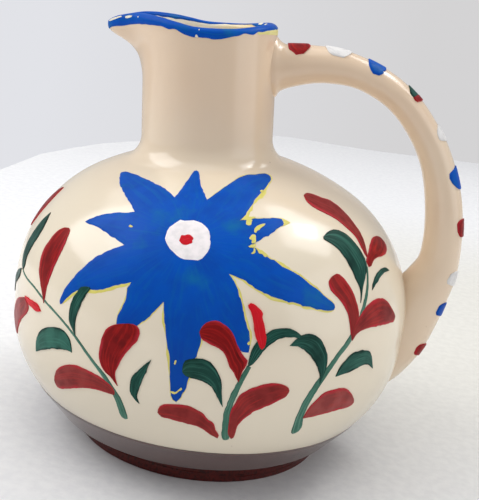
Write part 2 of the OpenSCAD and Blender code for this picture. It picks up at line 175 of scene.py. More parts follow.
# Leaves: the left side from foot to tip, the right side between them, how thin a pale wash lies.
RED_LEAVES = {
    LEFT_SHEET: [
        ([(-45.7, 4.4), (-46.8, 9), (-46.5, 14), (-44, 19), (-40.4, 22.2), (-37.3, 23.1)],
         [(-41.4, 8.5), (-39.4, 12.4), (-37.9, 16.6), (-37.3, 20.2)]),
        ([(-4.5, -15.7), (-6.3, -13.1), (-9.8, -9.4), (-12.5, -6.6), (-14.1, -4), (-15.5, 0.6),
          (-14.8, 4.7), (-13.3, 9), (-10.4, 11.8), (-7.4, 12.5)],
         [(-4.6, -12.6), (-4.9, -8.4), (-4.5, -3.4), (-4.3, 1.5), (-4.3, 5.3), (-4.8, 8.3),
          (-5.5, 10.3), (-6.2, 11.9)]),
        ([(-30.5, -36.1), (-34.3, -32.4), (-36.3, -28.8), (-33.9, -24.9), (-29.2, -21.4),
          (-20.5, -18.6)],
         [(-25.9, -31), (-22.2, -27.4), (-17.6, -24), (-15.9, -20.8)], 0.5),
        ([(33.1, -31.5), (31.3, -29.9), (28.2, -28.2), (26.2, -26.2), (25.3, -23.1), (25.5, -19),
          (26.2, -15.2), (27.6, -12.4), (29.9, -10.6), (33, -9.1)],
         [(31.9, -28), (32.7, -24.6), (34.1, -20.6), (35.9, -17), (37.8, -13.4), (38.2, -11),
          (37.5, -9), (35.9, -8.2)]),
        ([(31.9, -35.3), (28.8, -35.7), (25.7, -36.1), (21.6, -37.2), (16.4, -39.3), (10.3, -42.1),
          (5.2, -43.9), (3.8, -42.7), (4.1, -40.6)],
         [(32, -33.5), (30.4, -32.2), (27.1, -31.1), (23.2, -30.8), (18.3, -30.8), (14.6, -31.4),
          (9.7, -33.8), (6.2, -36.7)], 0.4),
    ],
    RIGHT_SHEET: [
        ([(12, 2.6), (14.1, 7.1), (15.3, 11), (15.3, 15.4), (15, 20), (14, 23.7), (12, 26.4),
          (7.9, 28.1), (5.1, 29.8), (2.6, 30.3), (0.2, 29.5)],
         [(11.3, 4.7), (11.1, 8), (10.9, 11.3), (8.9, 14.8), (6.4, 18.5), (2.8, 21.5),
          (-0.5, 24.5), (-1.2, 27)], 0.25),
        ([(10.9, -0.8), (10.6, 1.5), (14, 4.4), (18.1, 7.4), (22.9, 9.8), (27.3, 10.3)],
         [(12.4, -0.6), (16, 1.5), (20, 2.2), (25.8, 2.5), (30.1, 3.9), (32.9, 6.5), (31.5, 9)]),
        ([(-5.2, -25.1), (-3.3, -20.4), (-0.9, -17.2), (-1.2, -14.2), (-1.9, -9.9), (-3.3, -6.1),
          (-5.4, -2.8), (-7.5, -1), (-10.4, -1.7)],
         [(-5.8, -21.1), (-6, -17.6), (-7.2, -13.9), (-8.9, -10.7), (-11.8, -7.3), (-12.7, -4.9),
          (-12.2, -3)], 0.15),
        ([(-4.8, -25.3), (-4.6, -21.3), (-1.8, -18.2), (2.4, -15.3), (8, -13.1), (12.8, -12.6),
          (17.6, -14), (20.8, -16.5), (24.3, -20)],
         [(-3, -23.6), (-0.1, -22.6), (4.8, -22.2), (10.2, -22.5), (18, -22.7), (23.3, -22.6),
          (24.8, -21.3)], 0.25),
        ([(-21.3, -49.3), (-20, -45.7), (-17.4, -43.3), (-14.4, -41.6), (-9.9, -41.5),
          (-5.7, -41.9), (-1.4, -44.3), (1.9, -47.6)],
         [(-17.2, -49.5), (-12.9, -49.6), (-7.6, -49.6), (-1.5, -49.8), (2.1, -49.3)], 0.75),
    ],
    MIDDLE_SHEET: [
        ([(3.2, -11), (2, -9.4), (1.1, -7.6), (-0.3, -6.3), (-1.5, -3.8), (-2.5, -1.7), (-4.1, 0),
          (-6.6, 1.1), (-9.1, 2.1), (-11.1, 3.2), (-12, 5.2)],
         [(4, -6.7), (4.9, -5.1), (5.2, -2.9), (3.4, -1.2), (1.6, 1.5), (-0.1, 4.5), (-1.3, 6.5),
          (-2.9, 8), (-5.1, 9.2), (-7.5, 9.5), (-9.8, 8.7), (-11.3, 7.1)]),
        ([(4, -34), (2.5, -31.5), (2.1, -27), (1.9, -22.4), (3, -19.1), (4.3, -15.8), (6.8, -13.7),
          (10.2, -12.1), (14.4, -10.9), (18.1, -11.2), (20.9, -12.4), (21.7, -13.8)],
         [(4.8, -33.3), (5.1, -30), (5.6, -26.8), (7.7, -24.1), (10.2, -21.6), (13.6, -19.9),
          (17.3, -17.9), (20.7, -15.9)], 0.25),
        ([(-0.7, -34.1), (-0.5, -32.7), (-2, -30.5), (-3.2, -27.5), (-5.3, -26.2), (-7.2, -24.1),
          (-9.8, -22.6), (-12.8, -21.6), (-16.6, -21.7), (-20.3, -22.4), (-22.2, -23.8),
          (-22.5, -26.1)],
         [(-3.5, -32.6), (-7.1, -30), (-10.7, -29), (-14.3, -28.5), (-17.9, -27.8), (-20.7, -27.7)],
         0.25),
    ],
}
BRIGHT_LEAF = {
    LEFT_SHEET: [
        ([(-20.4, -18), (-15.3, -17.7), (-11.6, -17.5), (-8.3, -17.6), (-5.7, -19.2)],
         [(-15.9, -19.8), (-12, -20), (-8.5, -20.2)]),
    ],
    MIDDLE_SHEET: [
        ([(9.5, 1.2), (10.4, 2.1), (10.6, 4.9), (10.1, 7.6), (9.3, 9.9), (8.6, 12.1), (8.7, 13.3),
          (7.3, 14.6), (5.8, 15.8), (4.2, 16.2)],
         [(8.7, 2), (7.7, 4), (6.8, 5.7), (6.3, 8.1), (5.5, 11), (4.6, 13.3), (3.4, 15.2)]),
    ],
}
GREEN_LEAVES = {
    LEFT_SHEET: [
        ([(-28.6, -10.1), (-31.4, -8.2), (-34, -5), (-34.2, -0.4), (-32.6, 4.6), (-30.5, 9.5),
          (-27.3, 13.7)],
         [(-27.3, -8.1), (-28.1, -4.8), (-26.6, 0.1), (-24.9, 5.2), (-25.2, 9.8)]),
        ([(-42.6, -22.3), (-43, -19), (-40.4, -15), (-34.7, -11.5), (-31.1, -10.1)],
         [(-41.3, -19.5), (-35.4, -16.2), (-31.2, -13.3)]),
        ([(13.7, -27.3), (12.7, -24), (10.7, -21.9), (7.2, -21.1), (1.7, -22.4), (-3.2, -24.8),
          (-6.2, -27.9), (-7.5, -31.7), (-7.4, -35.1)],
         [(12.2, -27.2), (10, -27.7), (7.5, -28.5), (4.3, -29.6), (1.4, -30.8), (-1.7, -32.2),
          (-4.5, -33.6)], 0.65),
        ([(14.7, -21.1), (13.2, -19.2), (11.1, -17.1), (10.2, -13.9), (10.3, -9.1), (11.4, -5.8),
          (12.2, -3.8), (14.6, -2.7)],
         [(14, -18.3), (13.8, -15.4), (14.5, -9.9), (15.5, -5.5), (16.2, -3.6), (16.5, -2.5)]),
        ([(40.3, -34.8), (39.1, -34), (37.7, -32.3), (37.3, -29), (38.2, -25.1), (40.5, -21.3),
          (43, -17.8)],
         [(39.7, -32.6), (40.5, -28.8), (41.5, -24.3), (42.2, -21.1)]),
    ],
    RIGHT_SHEET: [
        ([(0.8, -12.8), (3.6, -7.6), (6.9, -3.7), (9.8, 0.3), (9.7, 4.8), (8.1, 9.6), (5.8, 12.7),
          (2.5, 14.5), (-2.1, 14.5), (-6.2, 12.8)],
         [(2, -8), (1.1, -4.3), (0.2, -0.4), (-0.9, 4.1), (-2.7, 8.1), (-5.2, 10.6), (-6.6, 11.9)]),
        ([(9, -9.2), (10.6, -6.6), (13.3, -4.4), (17.6, -2.7), (23.1, -2.1), (26, -3.5)],
         [(11.6, -7.7), (15.7, -5.6), (20.2, -4)]),
        ([(-10.9, -36.8), (-9.6, -33.8), (-6.9, -31.4), (-3.9, -29.9), (1.6, -29.7), (6, -31.1),
          (8.2, -33.9), (10.2, -37.9)],
         [(-8.1, -36.6), (-4.8, -36.5), (-0.5, -35.8), (3.1, -35.2), (6.5, -35.9)], 0.3),
        ([(-17.7, -38.1), (-16.8, -35.9), (-16, -33.1), (-15.9, -29.7), (-17.1, -26.1),
          (-19.3, -22.2), (-22.3, -20), (-25.4, -19.4), (-28.4, -20.5), (-30.7, -22.3)],
         [(-18.4, -34.4), (-20.1, -31.2), (-22.6, -27.9), (-25.3, -25.1), (-27.8, -23.2)]),
    ],
    MIDDLE_SHEET: [
        ([(5.6, -5.2), (5.6, -2.5), (6.2, 1.1), (7.7, 4), (10.2, 6.2), (12.6, 7.8), (15.7, 8.6),
          (18.7, 8.5), (21.4, 7.5), (23.1, 6.2)],
         [(7.3, -3.9), (9, -1.2), (10.8, 1.4), (13.1, 3.6), (15.4, 5), (18.3, 5.6), (21.1, 5.5),
          (22.2, 5.2)]),
        ([(-1, -20.7), (-2, -15.1), (-2.6, -11.4), (-4, -8.5), (-6.1, -5.7), (-8.4, -4.1),
          (-11.1, -3.8), (-13.8, -4.1), (-15.7, -5.2), (-16.2, -7.1), (-16.1, -9.3)],
         [(-2.3, -18.7), (-3.7, -16.5), (-5.8, -13.6), (-8.4, -12), (-11.6, -11.3), (-14.1, -10.9),
          (-15.3, -10.3)]),
    ],
}

# Stems: the middle of the stroke from its foot to its tip, then its width at even steps along it.
STEMS = {
    LEFT_SHEET: ([(34.1, -43.4), (33.4, -37.1), (31.5, -34.1), (28.3, -30.5), (21.6, -25.8),
                  (13.8, -20.7), (4.7, -17), (-4, -14.8), (-13.7, -12.5), (-24, -11.3),
                  (-28.7, -10)], (2.8, 1.4, 0.8, 0.75, 0.6)),
    RIGHT_SHEET: ([(-21, -54.7), (-22.7, -49.2), (-21.8, -44.1), (-19.1, -39.4), (-15.4, -34.4),
                   (-11.2, -29.4), (-6.2, -25.1), (-1.9, -20), (1.9, -15.2), (5.2, -10.3),
                   (7.8, -5.1), (9.8, -0.3)], (3.6, 2.6, 2.0, 1.6, 1.0)),
    MIDDLE_SHEET: ([(2.4, -35), (1.5, -30.7), (0.9, -26.3), (1.1, -20.8), (2.2, -16), (3.7, -11.2),
                    (5.2, -7), (6, -5)], (2.8, 2.4, 2.2, 2.0, 1.7)),
}

# The handle's stations in its own upright plane: outer edge x z, inner edge x z, width.
HANDLE = [(9.2, 166.8, 10.9, 141.6, 19.2), (12.2, 165.5, 13.9, 142.1, 18.6),
          (13, 164.6, 14.9, 143, 18.1), (14.3, 163.7, 15.5, 144.4, 17.6),
          (16, 163.2, 16.8, 145.6, 17.1), (18.5, 163.5, 20, 147.1, 16.6),
          (26, 164.2, 28.4, 149.8, 16), (36, 164.3, 36.4, 150.7, 15.6),
          (45, 162.7, 43.8, 150.4, 15.4), (55.1, 159.4, 50.9, 148.3, 15.2),
          (63.6, 155, 57.4, 145.1, 15.2), (71.4, 149.1, 63.2, 140.6, 15.3),
          (77.6, 142.5, 68.2, 135.1, 15.5), (83.2, 135.5, 72.5, 129.1, 15.8),
          (87.9, 127.5, 75.9, 122.5, 16), (91.7, 119.3, 78.3, 115.5, 16.2),
          (94.6, 110.9, 80.1, 108.3, 16.4), (96.4, 102.8, 81.4, 100.9, 16.6),
          (97.6, 94.4, 82, 93.6, 16.8), (98.1, 86.5, 81.6, 86.8, 17.2), (97.9, 79, 78.6, 81.2, 18),
          (96.6, 71.5, 74.5, 75, 19), (94.2, 60.3, 71.5, 66, 19.5), (91, 49.4, 68.5, 57, 19),
          (86.6, 40.3, 66, 49, 18), (80.8, 32.5, 64, 43, 17), (72.6, 25.8, 60, 38, 16),
          (65, 22.5, 56, 35, 15)]

# Outlines of the dabs on the handle's back: share of its run in hundredths, degrees from its ridge
# to the front.
DABS = {
    "red": [
        [(4.3, -14), (4.3, 5), (4.8, 37), (5.6, 44), (6.3, 55), (7.1, 58), (7.8, 52), (8.7, 39),
         (9.3, 21), (9.1, -8), (8.2, -26), (6.6, -32), (5.1, -27)],
        [(30.1, 46), (30.9, 51), (31.4, 40), (31.9, 13), (31.7, -8), (31, -14), (30.6, 8)],
        [(55.7, 17), (55.7, 46), (56.4, 56), (57, 58), (58, 52), (59, 40), (59.2, 20), (58.8, 0),
         (57.6, -12), (56.3, -6)],
        [(82.2, 35), (82.8, 49), (83.7, 51), (84.8, 45), (85.1, 33), (84.9, 10), (83.8, -4),
         (82.6, 4)],
    ],
    "white": [
        [(11.9, -10), (12.1, 8), (12.7, 41), (13.6, 51), (14.8, 55), (16, 42), (16.9, 11),
         (16.7, -12), (15.4, -28), (13.8, -31), (12.5, -24)],
        [(37.1, 23), (37.9, 47), (39.1, 56), (39.8, 47), (40.6, 10), (40.3, -12), (39, -22),
         (37.6, -10)],
        [(66, 37), (66.6, 56), (67.6, 61), (68.3, 61), (68.8, 47), (69.1, 32), (68.9, 8),
         (67.9, -6), (66.6, 2)],
    ],
    "blue": [
        [(20, 5), (20.2, 40), (20.8, 59), (21.5, 69), (22.5, 66), (23, 41), (23.4, 5), (22.9, -18),
         (21.9, -28), (20.6, -20)],
        [(45.4, 13), (45.9, 51), (46.5, 68), (47.2, 68), (48.2, 59), (49, 48), (49.7, 32),
         (49.9, 8), (49.1, -12), (47.6, -20), (46.2, -10)],
        [(73, 29), (73.6, 47), (74.5, 50), (75.4, 47), (75.8, 36), (75.7, 12), (74.6, -2),
         (73.4, 8)],
    ],
    "green": [
        [(28.4, 12), (29.2, 42), (30.2, 48), (30.8, 8), (30.3, -14), (29.3, -20), (28.5, -10)],
    ],
}

# The rim, by degrees round it from the lip to the handle: its dip below level as a share of the
# lip's drop, the lip's reach up the neck as shares, and how far from its crest the blue goes down
# outside and inside.
RIM_DIP = [(0, 0.76), (8, 0.52), (16, 0.34), (25, 0.28), (35, 0.28), (50, 0.31), (65, 0.39),
           (80, 0.47), (100, 0.42), (120, 0.31), (140, 0.14), (160, 0.02), (180, 0.02)]
LIP_RISE = [(0, 0), (0.15, 0.025), (0.385, 0.14), (0.485, 0.25), (0.58, 0.42), (0.66, 0.65),
            (0.715, 0.83), (0.77, 0.95), (0.85, 1), (0.93, 1), (1, 0.97)]
RIM_OUTSIDE = [(0, 6.8), (5, 6.3), (14, 6.3), (21, 5.6), (30, 5.2), (46, 4.4), (59, 4.3),
               (65, 3.9), (70, 4.3), (81, 5.3), (90, 5.1), (100, 5.4), (110, 4.4), (120, 3.3),
               (125, 2.8), (132, 3.4), (137, 2.7), (154, 2.7), (180, 2.6)]
RIM_INSIDE = [(0, 2.2), (22, 2.4), (38, 2.8), (55, 2.8), (72, 2.1), (86, 1.9), (100, 1.1),
              (116, 1.0), (130, 1.2), (140, 2.6), (180, 3.2)]
# Yellow that shows under the blue at the handle's end, and chips in the blue: degrees round,
# millimetres outwards from the crest.
RIM_YELLOW = [(136, 2.2), (136.5, 3.4), (145, 3.7), (154, 4.2), (169, 4.7), (182, 4.8), (192, 4.2),
              (196, 2.2), (180, 1.9), (158, 1.9)]
RIM_CHIPS = [
    [(3, 2.9), (4.5, 2.5), (7, 2.3), (9.5, 2), (10.5, 2.4), (8, 3), (5.5, 3.4), (3.5, 3.4)],
    [(13, 2.5), (15, 2.3), (18, 2.5), (17, 3), (15, 3.3), (13, 3.1)],
    [(23.6, 2.6), (24.2, 2.4), (24.6, 2.8), (24, 3)],
    [(83, 5.2), (83.6, 4.2), (84.3, 4), (85.4, 4.6), (85.8, 5.2)],
    [(85.6, 1.8), (86.1, 1.6), (86.6, 1.9), (86, 2.2)],
    [(197, -1.4), (198, -1.9), (201, -2.1), (203, -1.9), (201, -1.4)],
    [(209, -1.3), (211, -1.9), (214, -1.9), (218, -1.5), (217, -0.7), (212, -0.8)],
]

# The cloth under the jug: its far edge (x, y), and in metres half its width, its near edge, the
# waves far behind and the middle of the painted shadow on it, behind the jug and to its right.
CLOTH_EDGE = [(-1100, 240), (-300, 250), (-220, 345), (-202, 482), (-183, 541), (-160, 596),
              (-60, 700), (17, 782), (92, 783), (148, 781), (252, 799), (1100, 900)]
CLOTH_HALF, CLOTH_NEAR, CLOTH_WAVE = 1.1, -0.6, 0.006
CLOTH_CELLS = (120, 80)
CLOTH_SHADOW_AT = (0.15, 0.18, 0.0)

# Lamps: the way to each one from the place that it lights, its distance and size in metres, watts.
LAMP_AIM = Vector((0, 0, 80 * MM))
LAMPS = (
    ("key_window", (0.493, 0.287, 0.822), 1.0, (0.6, 0.42), 2.7),
    ("key_pane", (0.493, 0.287, 0.822), 0.98, (0.2, 0.16), 0.8),
    ("side_window", (-0.772, -0.034, 0.635), 1.1, (0.8, 0.8), 6.2),
    ("top_soft", (-0.35, 0.1, 0.93), 1.5, (1.6, 1.6), 7.5),
    ("right_soft", (0.9, -0.3, 0.32), 1.5, (1.2, 1.2), 4.5),
    ("front_fill", (0.1, -0.85, 0.5), 1.6, (1.4, 1.0), 0.6),
)

# The camera, fitted to the jug's outline in the photo: metres, degrees.
CAMERA_AT, CAMERA_TURN = (0.01926, -0.36750, 0.18748), (73.3191, -7.6376, 3.8895)
CAMERA_SENSOR, CAMERA_LENS = 36.0, 66.97


def linear(code):
    """An sRGB hex colour as linear light."""
    parts = [int(code[i:i + 2], 16) / 255 for i in (1, 3, 5)]
    light = [p / 12.92 if p <= 0.04045 else ((p + 0.055) / 1.055) ** 2.4 for p in parts]
    return (*light, 1.0)


def length(name, description, default):
    """A size as a scene property, in metres."""
    return FloatProperty(name=name, description=description, unit="LENGTH", default=default)


def turn_of(name, description, degrees):
    """A turn as a scene property, from degrees."""
    return FloatProperty(name=name, description=description, unit="ROTATION", subtype="ANGLE",
                         default=math.radians(degrees))


def paint_of(name, description, code):
    """A colour as a scene property, from its sRGB hex code."""
    return FloatVectorProperty(name=name, description=description, subtype="COLOR", size=4,
                               default=linear(code))


class JugSizes(bpy.types.PropertyGroup):
    """Sizes of the thrown body, its lip and its dip."""

    belly_radius: length("Belly radius", "Widest radius of the belly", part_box("belly_bowl")[1].x)
    equator_height: length("Equator height", "Height of the belly's widest line",
                           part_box("belly_bowl")[1].z)
    shoulder_radius: length("Shoulder bend", "Radius of the bend above the equator", 53.4 * MM)
    shoulder_turn: turn_of("Shoulder turn", "How far the shoulder bends before the cap", 60.6)
    under_radius: length("Under bend", "Radius of the bend below the equator", 44 * MM)
    upright: length("Upright", "Straight height below the equator", 9.5 * MM)
    heel_turn: turn_of("Heel turn", "Turn of the under bend where the heel runs straight", 39)
    wall: length("Wall", "Thickness of the fired wall", 4 * MM)
    floor: length("Floor", "Thickness of the floor", 4.5 * MM)
    foot_height: length("Foot height", "Height of the foot ring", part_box("foot_ring")[1].z)
    foot_radius: length("Foot radius", "Outer radius of the foot ring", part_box("foot_ring")[1].x)
    foot_shift: length("Foot shift", "How far the foot sits off the belly's middle", 1.3 * MM)
    neck_radius: length("Neck radius", "Outer radius of the neck", 26.1 * MM)
    neck_lean: turn_of("Neck lean", "Lean of the neck towards the lip", 5.2)
    flare_radius: length("Flare", "Fillet between belly and neck", 10 * MM)
    rim_height: length("Rim height", "Height of the rim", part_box("neck")[1].z)
    lip_reach: length("Lip reach", "How far the pouring lip is pulled out", 14.0 * MM)
    lip_drop: length("Lip drop", "How far the lip's tip hangs below the rim", 7.9 * MM)
    lip_depth: length("Lip depth", "Height of the neck that the pull bends", 26.8 * MM)
    dip_height: length("Dip line", "Height of the brown dip's upper edge",
                       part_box("brown_dip")[1].z)


class JugColours(bpy.types.PropertyGroup):
    """Colours of the glazes and the brushed enamels."""

    cream: paint_of("Cream", "Glaze over the belly", "#EADFC8")
    warm_cream: paint_of("Warm cream", "Glaze over the neck and handle", "#E4CAAD")
    brown: paint_of("Brown", "Dip above the foot", "#55423E")
    foot: paint_of("Foot", "Turned foot under the dip", "#3A1412")
    blue: paint_of("Blue", "Star and rim", "#0450B4")
    yellow: paint_of("Yellow", "Undercoat of the star and the rim", "#DCD170")
    white: paint_of("White", "Eye and white dabs", "#E2E0DD")
    red: paint_of("Red", "Leaves and red dabs", "#821718")
    bright_red: paint_of("Bright red", "Pip and the two freshest strokes", "#CE1A26")
    green: paint_of("Green", "Leaves and the green dab", "#1C443B")
    stem: paint_of("Stem green", "Thin strokes of the stems", "#447261")
    worn: paint_of("Worn", "Glaze that shows in the chips of the rim", "#F1E9D0")


def between(low, high, count):
    """Evenly spaced values from low to high, both included."""
    return [low + (high - low) * i / count for i in range(count + 1)]


def arc(x, z, radius, angles):
    """Points of a bend in the profile."""
    return [(x + radius * math.cos(a), z + radius * math.sin(a)) for a in angles]


def smooth(value):
    """An even rise from 0 to 1."""
    value = min(1.0, max(0.0, value))
    return value * value * (3 - 2 * value)


def bow(start, leave, end, arrive, t):
    """Point of a smooth line between two places, by how it leaves one and comes to the other."""
    return (start * (1 - 3 * t * t + 2 * t ** 3) + leave * (t - 2 * t * t + t ** 3)
            + end * (3 * t * t - 2 * t ** 3) + arrive * (t ** 3 - t * t))


def graph(rows):
    """A smooth line through measured rows of (place, value), level at both ends."""
    last = len(rows) - 1

    def slope(i):
        if i in (0, last):
            return 0.0
        return (rows[i + 1][1] - rows[i - 1][1]) / (rows[i + 1][0] - rows[i - 1][0])

    def at(place):
        i = 0
        while i < last - 1 and rows[i + 1][0] < place:
            i += 1
        gap = rows[i + 1][0] - rows[i][0]
        t = min(1.0, max(0.0, (place - rows[i][0]) / gap))
        return bow(rows[i][1], slope(i) * gap, rows[i + 1][1], slope(i + 1) * gap, t)

    return at


class JugLines:
    """Profile of the thrown body and the two bends that its maker gave it, by the scene's sizes."""

    LIP_FADE = 80.0  # degrees round the rim where the pull has died out
    LIP_HALF = 13.0  # degrees where the reach is halved
    LIP_SAG = 1.5  # power by which the rim's dip grows up the neck
    LEAN_EARLY = 0.02  # radians outside the flare where the lean is whole
    EDGE = 0.5 * MM  # easing of the heel's lower edge
    EASED = ((1.4 * EDGE, 0.0), (0.5 * EDGE, 0.3 * EDGE))  # points of that edge: inwards, upwards
    BELOW_FLARE = math.radians(1.6)  # from the flare's foot down to the seam of dome and neck
    # Radians from a seam to the extra rows that keep its shading clean.
    BESIDE_EQUATOR = (0, 0.002, 0.009)
    BESIDE_SEAM = (0.0012, 0.006)

    def __init__(self, sizes):
        self.sizes = sizes
        inset = sizes.belly_radius - sizes.shoulder_radius
        self.cap_radius = sizes.shoulder_radius + inset / math.cos(sizes.shoulder_turn)
        self.cap_z = sizes.equator_height - inset * math.tan(sizes.shoulder_turn)
        self.under_z = sizes.equator_height - sizes.upright
        self.flare_x = sizes.neck_radius + sizes.flare_radius
        reach = self.cap_radius + sizes.flare_radius
        self.flare_z = self.cap_z + math.sqrt(reach ** 2 - self.flare_x ** 2)
        self.flare_turn = math.atan2(self.flare_z - self.cap_z, self.flare_x)
        self.seam = self.flare_turn - self.BELOW_FLARE
        self.rim = self.cap_z + (sizes.rim_height - self.cap_z) / math.cos(sizes.neck_lean)
        self.dip, self.rise = graph(RIM_DIP), graph(LIP_RISE)

    def heel(self, height, depth):
        """Radius of the belly at a height on its under bend, or on the straight heel below."""
        s = self.sizes
        radius, middle = s.under_radius - depth, s.belly_radius - s.under_radius
        bend = self.under_z - radius * math.sin(s.heel_turn)
        if height > bend:
            return middle + math.sqrt(radius ** 2 - (self.under_z - height) ** 2)
        return middle + radius * math.cos(s.heel_turn) - (bend - height) * math.tan(s.heel_turn)

    def bowl(self, depth):
        """Lower half of the belly, from its floor to the equator, depth under the glaze."""
        s = self.sizes
        start = s.foot_height + (s.floor if depth else 0)
        bend = self.under_z - (s.under_radius - depth) * math.sin(s.heel_turn)
        line = [(self.heel(z, depth), z) for z in between(start + self.EDGE, bend, 6)[:-1]]
        base = line[0][0]
        line = [(base - inwards, start + up) for inwards, up in self.EASED] + line
        line += arc(s.belly_radius - s.under_radius, self.under_z, s.under_radius - depth,
                    between(-s.heel_turn, 0, 22))
        rows = [r * s.upright for r in (0.25, 0.5, 0.75, 0.93, 0.985, 1)]
        return line + [(s.belly_radius - depth, self.under_z + row) for row in rows]

    def shoulder(self, depth):
        """Upper half of the belly, from the equator to the seam under the neck's flare."""
        s = self.sizes
        turns = [*self.BESIDE_EQUATOR, *between(0.04, s.shoulder_turn, 26)]
        line = arc(s.belly_radius - s.shoulder_radius, s.equator_height,
                   s.shoulder_radius - depth, turns)
        turns = between(s.shoulder_turn, self.seam, 7)[1:-1]
        turns += [self.seam - gap for gap in (*reversed(self.BESIDE_SEAM), 0)]
        return line + arc(0, self.cap_z, self.cap_radius - depth, turns)

    def neck(self, depth):
        """Flare and neck, from the seam to where the rim starts to round."""
        s = self.sizes
        turns = [self.seam + gap for gap in (0, *self.BESIDE_SEAM)]
        turns += between(self.seam + 2 * self.BESIDE_SEAM[1], self.flare_turn, 2)
        line = arc(0, self.cap_z, self.cap_radius - depth, turns)
        turns = between(math.pi + self.flare_turn, math.pi, 14)[1:]
        line += arc(self.flare_x, self.flare_z, s.flare_radius + depth, turns)
        top = self.rim - s.wall / 2
        return line + [(s.neck_radius - depth, z) for z in between(self.flare_z, top, 30)[1:]]

    def crest(self, along, lift):
        """Point of the rim: how far out from its crest (in if negative) and over the glaze."""
        s = self.sizes
        half = s.wall / 2
        quarter = half * math.pi / 2
        if abs(along) <= quarter:
            turn = math.pi / 2 - along / half
            return (s.neck_radius - half + (half + lift) * math.cos(turn),
                    self.rim - half + (half + lift) * math.sin(turn))
        side = half + lift if along > 0 else -half - lift
        return s.neck_radius - half + side, self.rim - half - (abs(along) - quarter)

    def pull(self, point):
        """Draws the neck's front out into the pouring lip and dips the rim."""
        s = self.sizes
        along = (point.z - (self.rim - s.lip_depth)) / s.lip_depth
        if along <= 0:
            return point
        around = math.degrees(math.atan2(abs(point.y), -point.x))
        end = 1 / (1 + (self.LIP_FADE / self.LIP_HALF) ** 2)
        swell = max(0.0, (1 / (1 + (around / self.LIP_HALF) ** 2) - end) / (1 - end))
        out = 1 + s.lip_reach * swell * self.rise(along) / math.hypot(point.x, point.y)
        drop = s.lip_drop * self.dip(around) * along ** self.LIP_SAG
        return Vector((point.x * out, point.y * out, point.z - drop))

    def rim_point(self, around, along, lift):
        """Point of the finished rim, by degrees round it from the lip."""
        across, up = self.crest(along, lift)
        turn = math.radians(around)
        spot = Vector((-across * math.cos(turn), -across * math.sin(turn), up))
        return self.lean(self.pull(spot))

    def lean(self, point):
        """Tips the neck over the belly's cap, with the rim cut level."""
        s = self.sizes
        x, y, z = point.x, point.y, point.z - self.cap_z
        start = math.pi / 2 - s.shoulder_turn
        end = math.pi / 2 - self.flare_turn + self.LEAN_EARLY
        turn = s.neck_lean * smooth((start - math.atan2(math.hypot(x, y), z)) / (start - end))
        level = 1 - smooth((point.z - self.flare_z) / (self.rim - self.flare_z))
        return Vector((x * math.cos(turn) - z * math.sin(turn), y,
                       z * math.cos(turn) + x * math.sin(turn) * level + self.cap_z))


def pick(*pieces):
    """Selects these pieces alone, the first one active."""
    bpy.ops.object.select_all(action="DESELECT")
    for piece in pieces:
        piece.select_set(True)
    bpy.context.view_layer.objects.active = pieces[0]


def name_new(name):
    """Names the piece that an operator has just added."""
    piece = bpy.context.object
    piece.name = piece.data.name = name
    return piece


def lathe(name, line, closed=False):
    """Draws a profile point by point and spins it once round."""
    bpy.ops.object.select_all(action="DESELECT")
    bpy.ops.mesh.primitive_plane_add(size=MM)
    piece = name_new(name)
    bpy.ops.object.mode_set(mode="EDIT")
    bpy.ops.mesh.merge(type="CENTER")
    bpy.ops.transform.translate(value=(line[0][0], 0, line[0][1]))
    for last, point in zip(line, line[1:]):
        step = (point[0] - last[0], 0, point[1] - last[1])
        bpy.ops.mesh.extrude_vertices_move(TRANSFORM_OT_translate={"value": step})
    if closed:
        bpy.ops.mesh.select_all(action="DESELECT")
        bpy.ops.object.mode_set(mode="OBJECT")
        piece.data.vertices[0].select = piece.data.vertices[len(line) - 1].select = True
        bpy.ops.object.mode_set(mode="EDIT")
        bpy.ops.mesh.edge_face_add()
    bpy.ops.mesh.select_all(action="SELECT")
    bpy.ops.mesh.spin(steps=TURN_STEPS, angle=2 * math.pi, center=(0, 0, 0), axis=(0, 0, 1))
    bpy.ops.object.mode_set(mode="OBJECT")
    weld(piece)
    return piece


def weld(piece, fill=False, outward=True):
    """Merges what lies together, closes holes if asked, and turns the faces outwards."""
    pick(piece)
    bpy.ops.object.mode_set(mode="EDIT")
    bpy.ops.mesh.select_all(action="SELECT")
    bpy.ops.mesh.remove_doubles(threshold=MM / 500)
    if fill:
        bpy.ops.mesh.fill_holes(sides=0)
        bpy.ops.mesh.select_all(action="SELECT")
    if outward:
        bpy.ops.mesh.normals_make_consistent(inside=False)
    bpy.ops.object.mode_set(mode="OBJECT")


def sheet(name, columns, rows, place):
    """A grid whose corners go to place(along, across), each from 0 to 1."""
    bpy.ops.object.select_all(action="DESELECT")
    bpy.ops.mesh.primitive_grid_add(x_subdivisions=columns, y_subdivisions=rows, size=2)
    piece = name_new(name)
    for vertex in piece.data.vertices:
        vertex.co = place((vertex.co.x + 1) / 2, (vertex.co.y + 1) / 2)
    return piece


def reshape(piece, *bends):
    """Carries each point of a piece through the bends in turn."""
    for vertex in piece.data.vertices:
        for bend in bends:
            vertex.co = bend(vertex.co)


def curve_through(points):
    """A smooth line through points, as a function of the share of its length."""
    points = [Vector(p) for p in points]
    marks = [0.0]
    for last, point in zip(points, points[1:]):
        marks.append(marks[-1] + (point - last).length)

    def at(share):
        reach = share * marks[-1]
        i = 0
        while i < len(points) - 2 and marks[i + 1] < reach:
            i += 1
        a, b = max(i - 1, 0), min(i + 2, len(points) - 1)
        gap = marks[i + 1] - marks[i]
        t = (reach - marks[i]) / gap
        leave = (points[i + 1] - points[a]) * (gap / (marks[i + 1] - marks[a]))
        arrive = (points[b] - points[i]) * (gap / (marks[b] - marks[i]))
        return bow(points[i], leave, points[i + 1], arrive, t)

    return at


def halves(loop):
    """A closed outline as the two sides of one mark, from one end to the other."""
    run = curve_through(loop + loop[:1])
    return tuple([tuple(run(u)) for u in between(start, 0.5, HALF_STEPS)] for start in (0, 1))


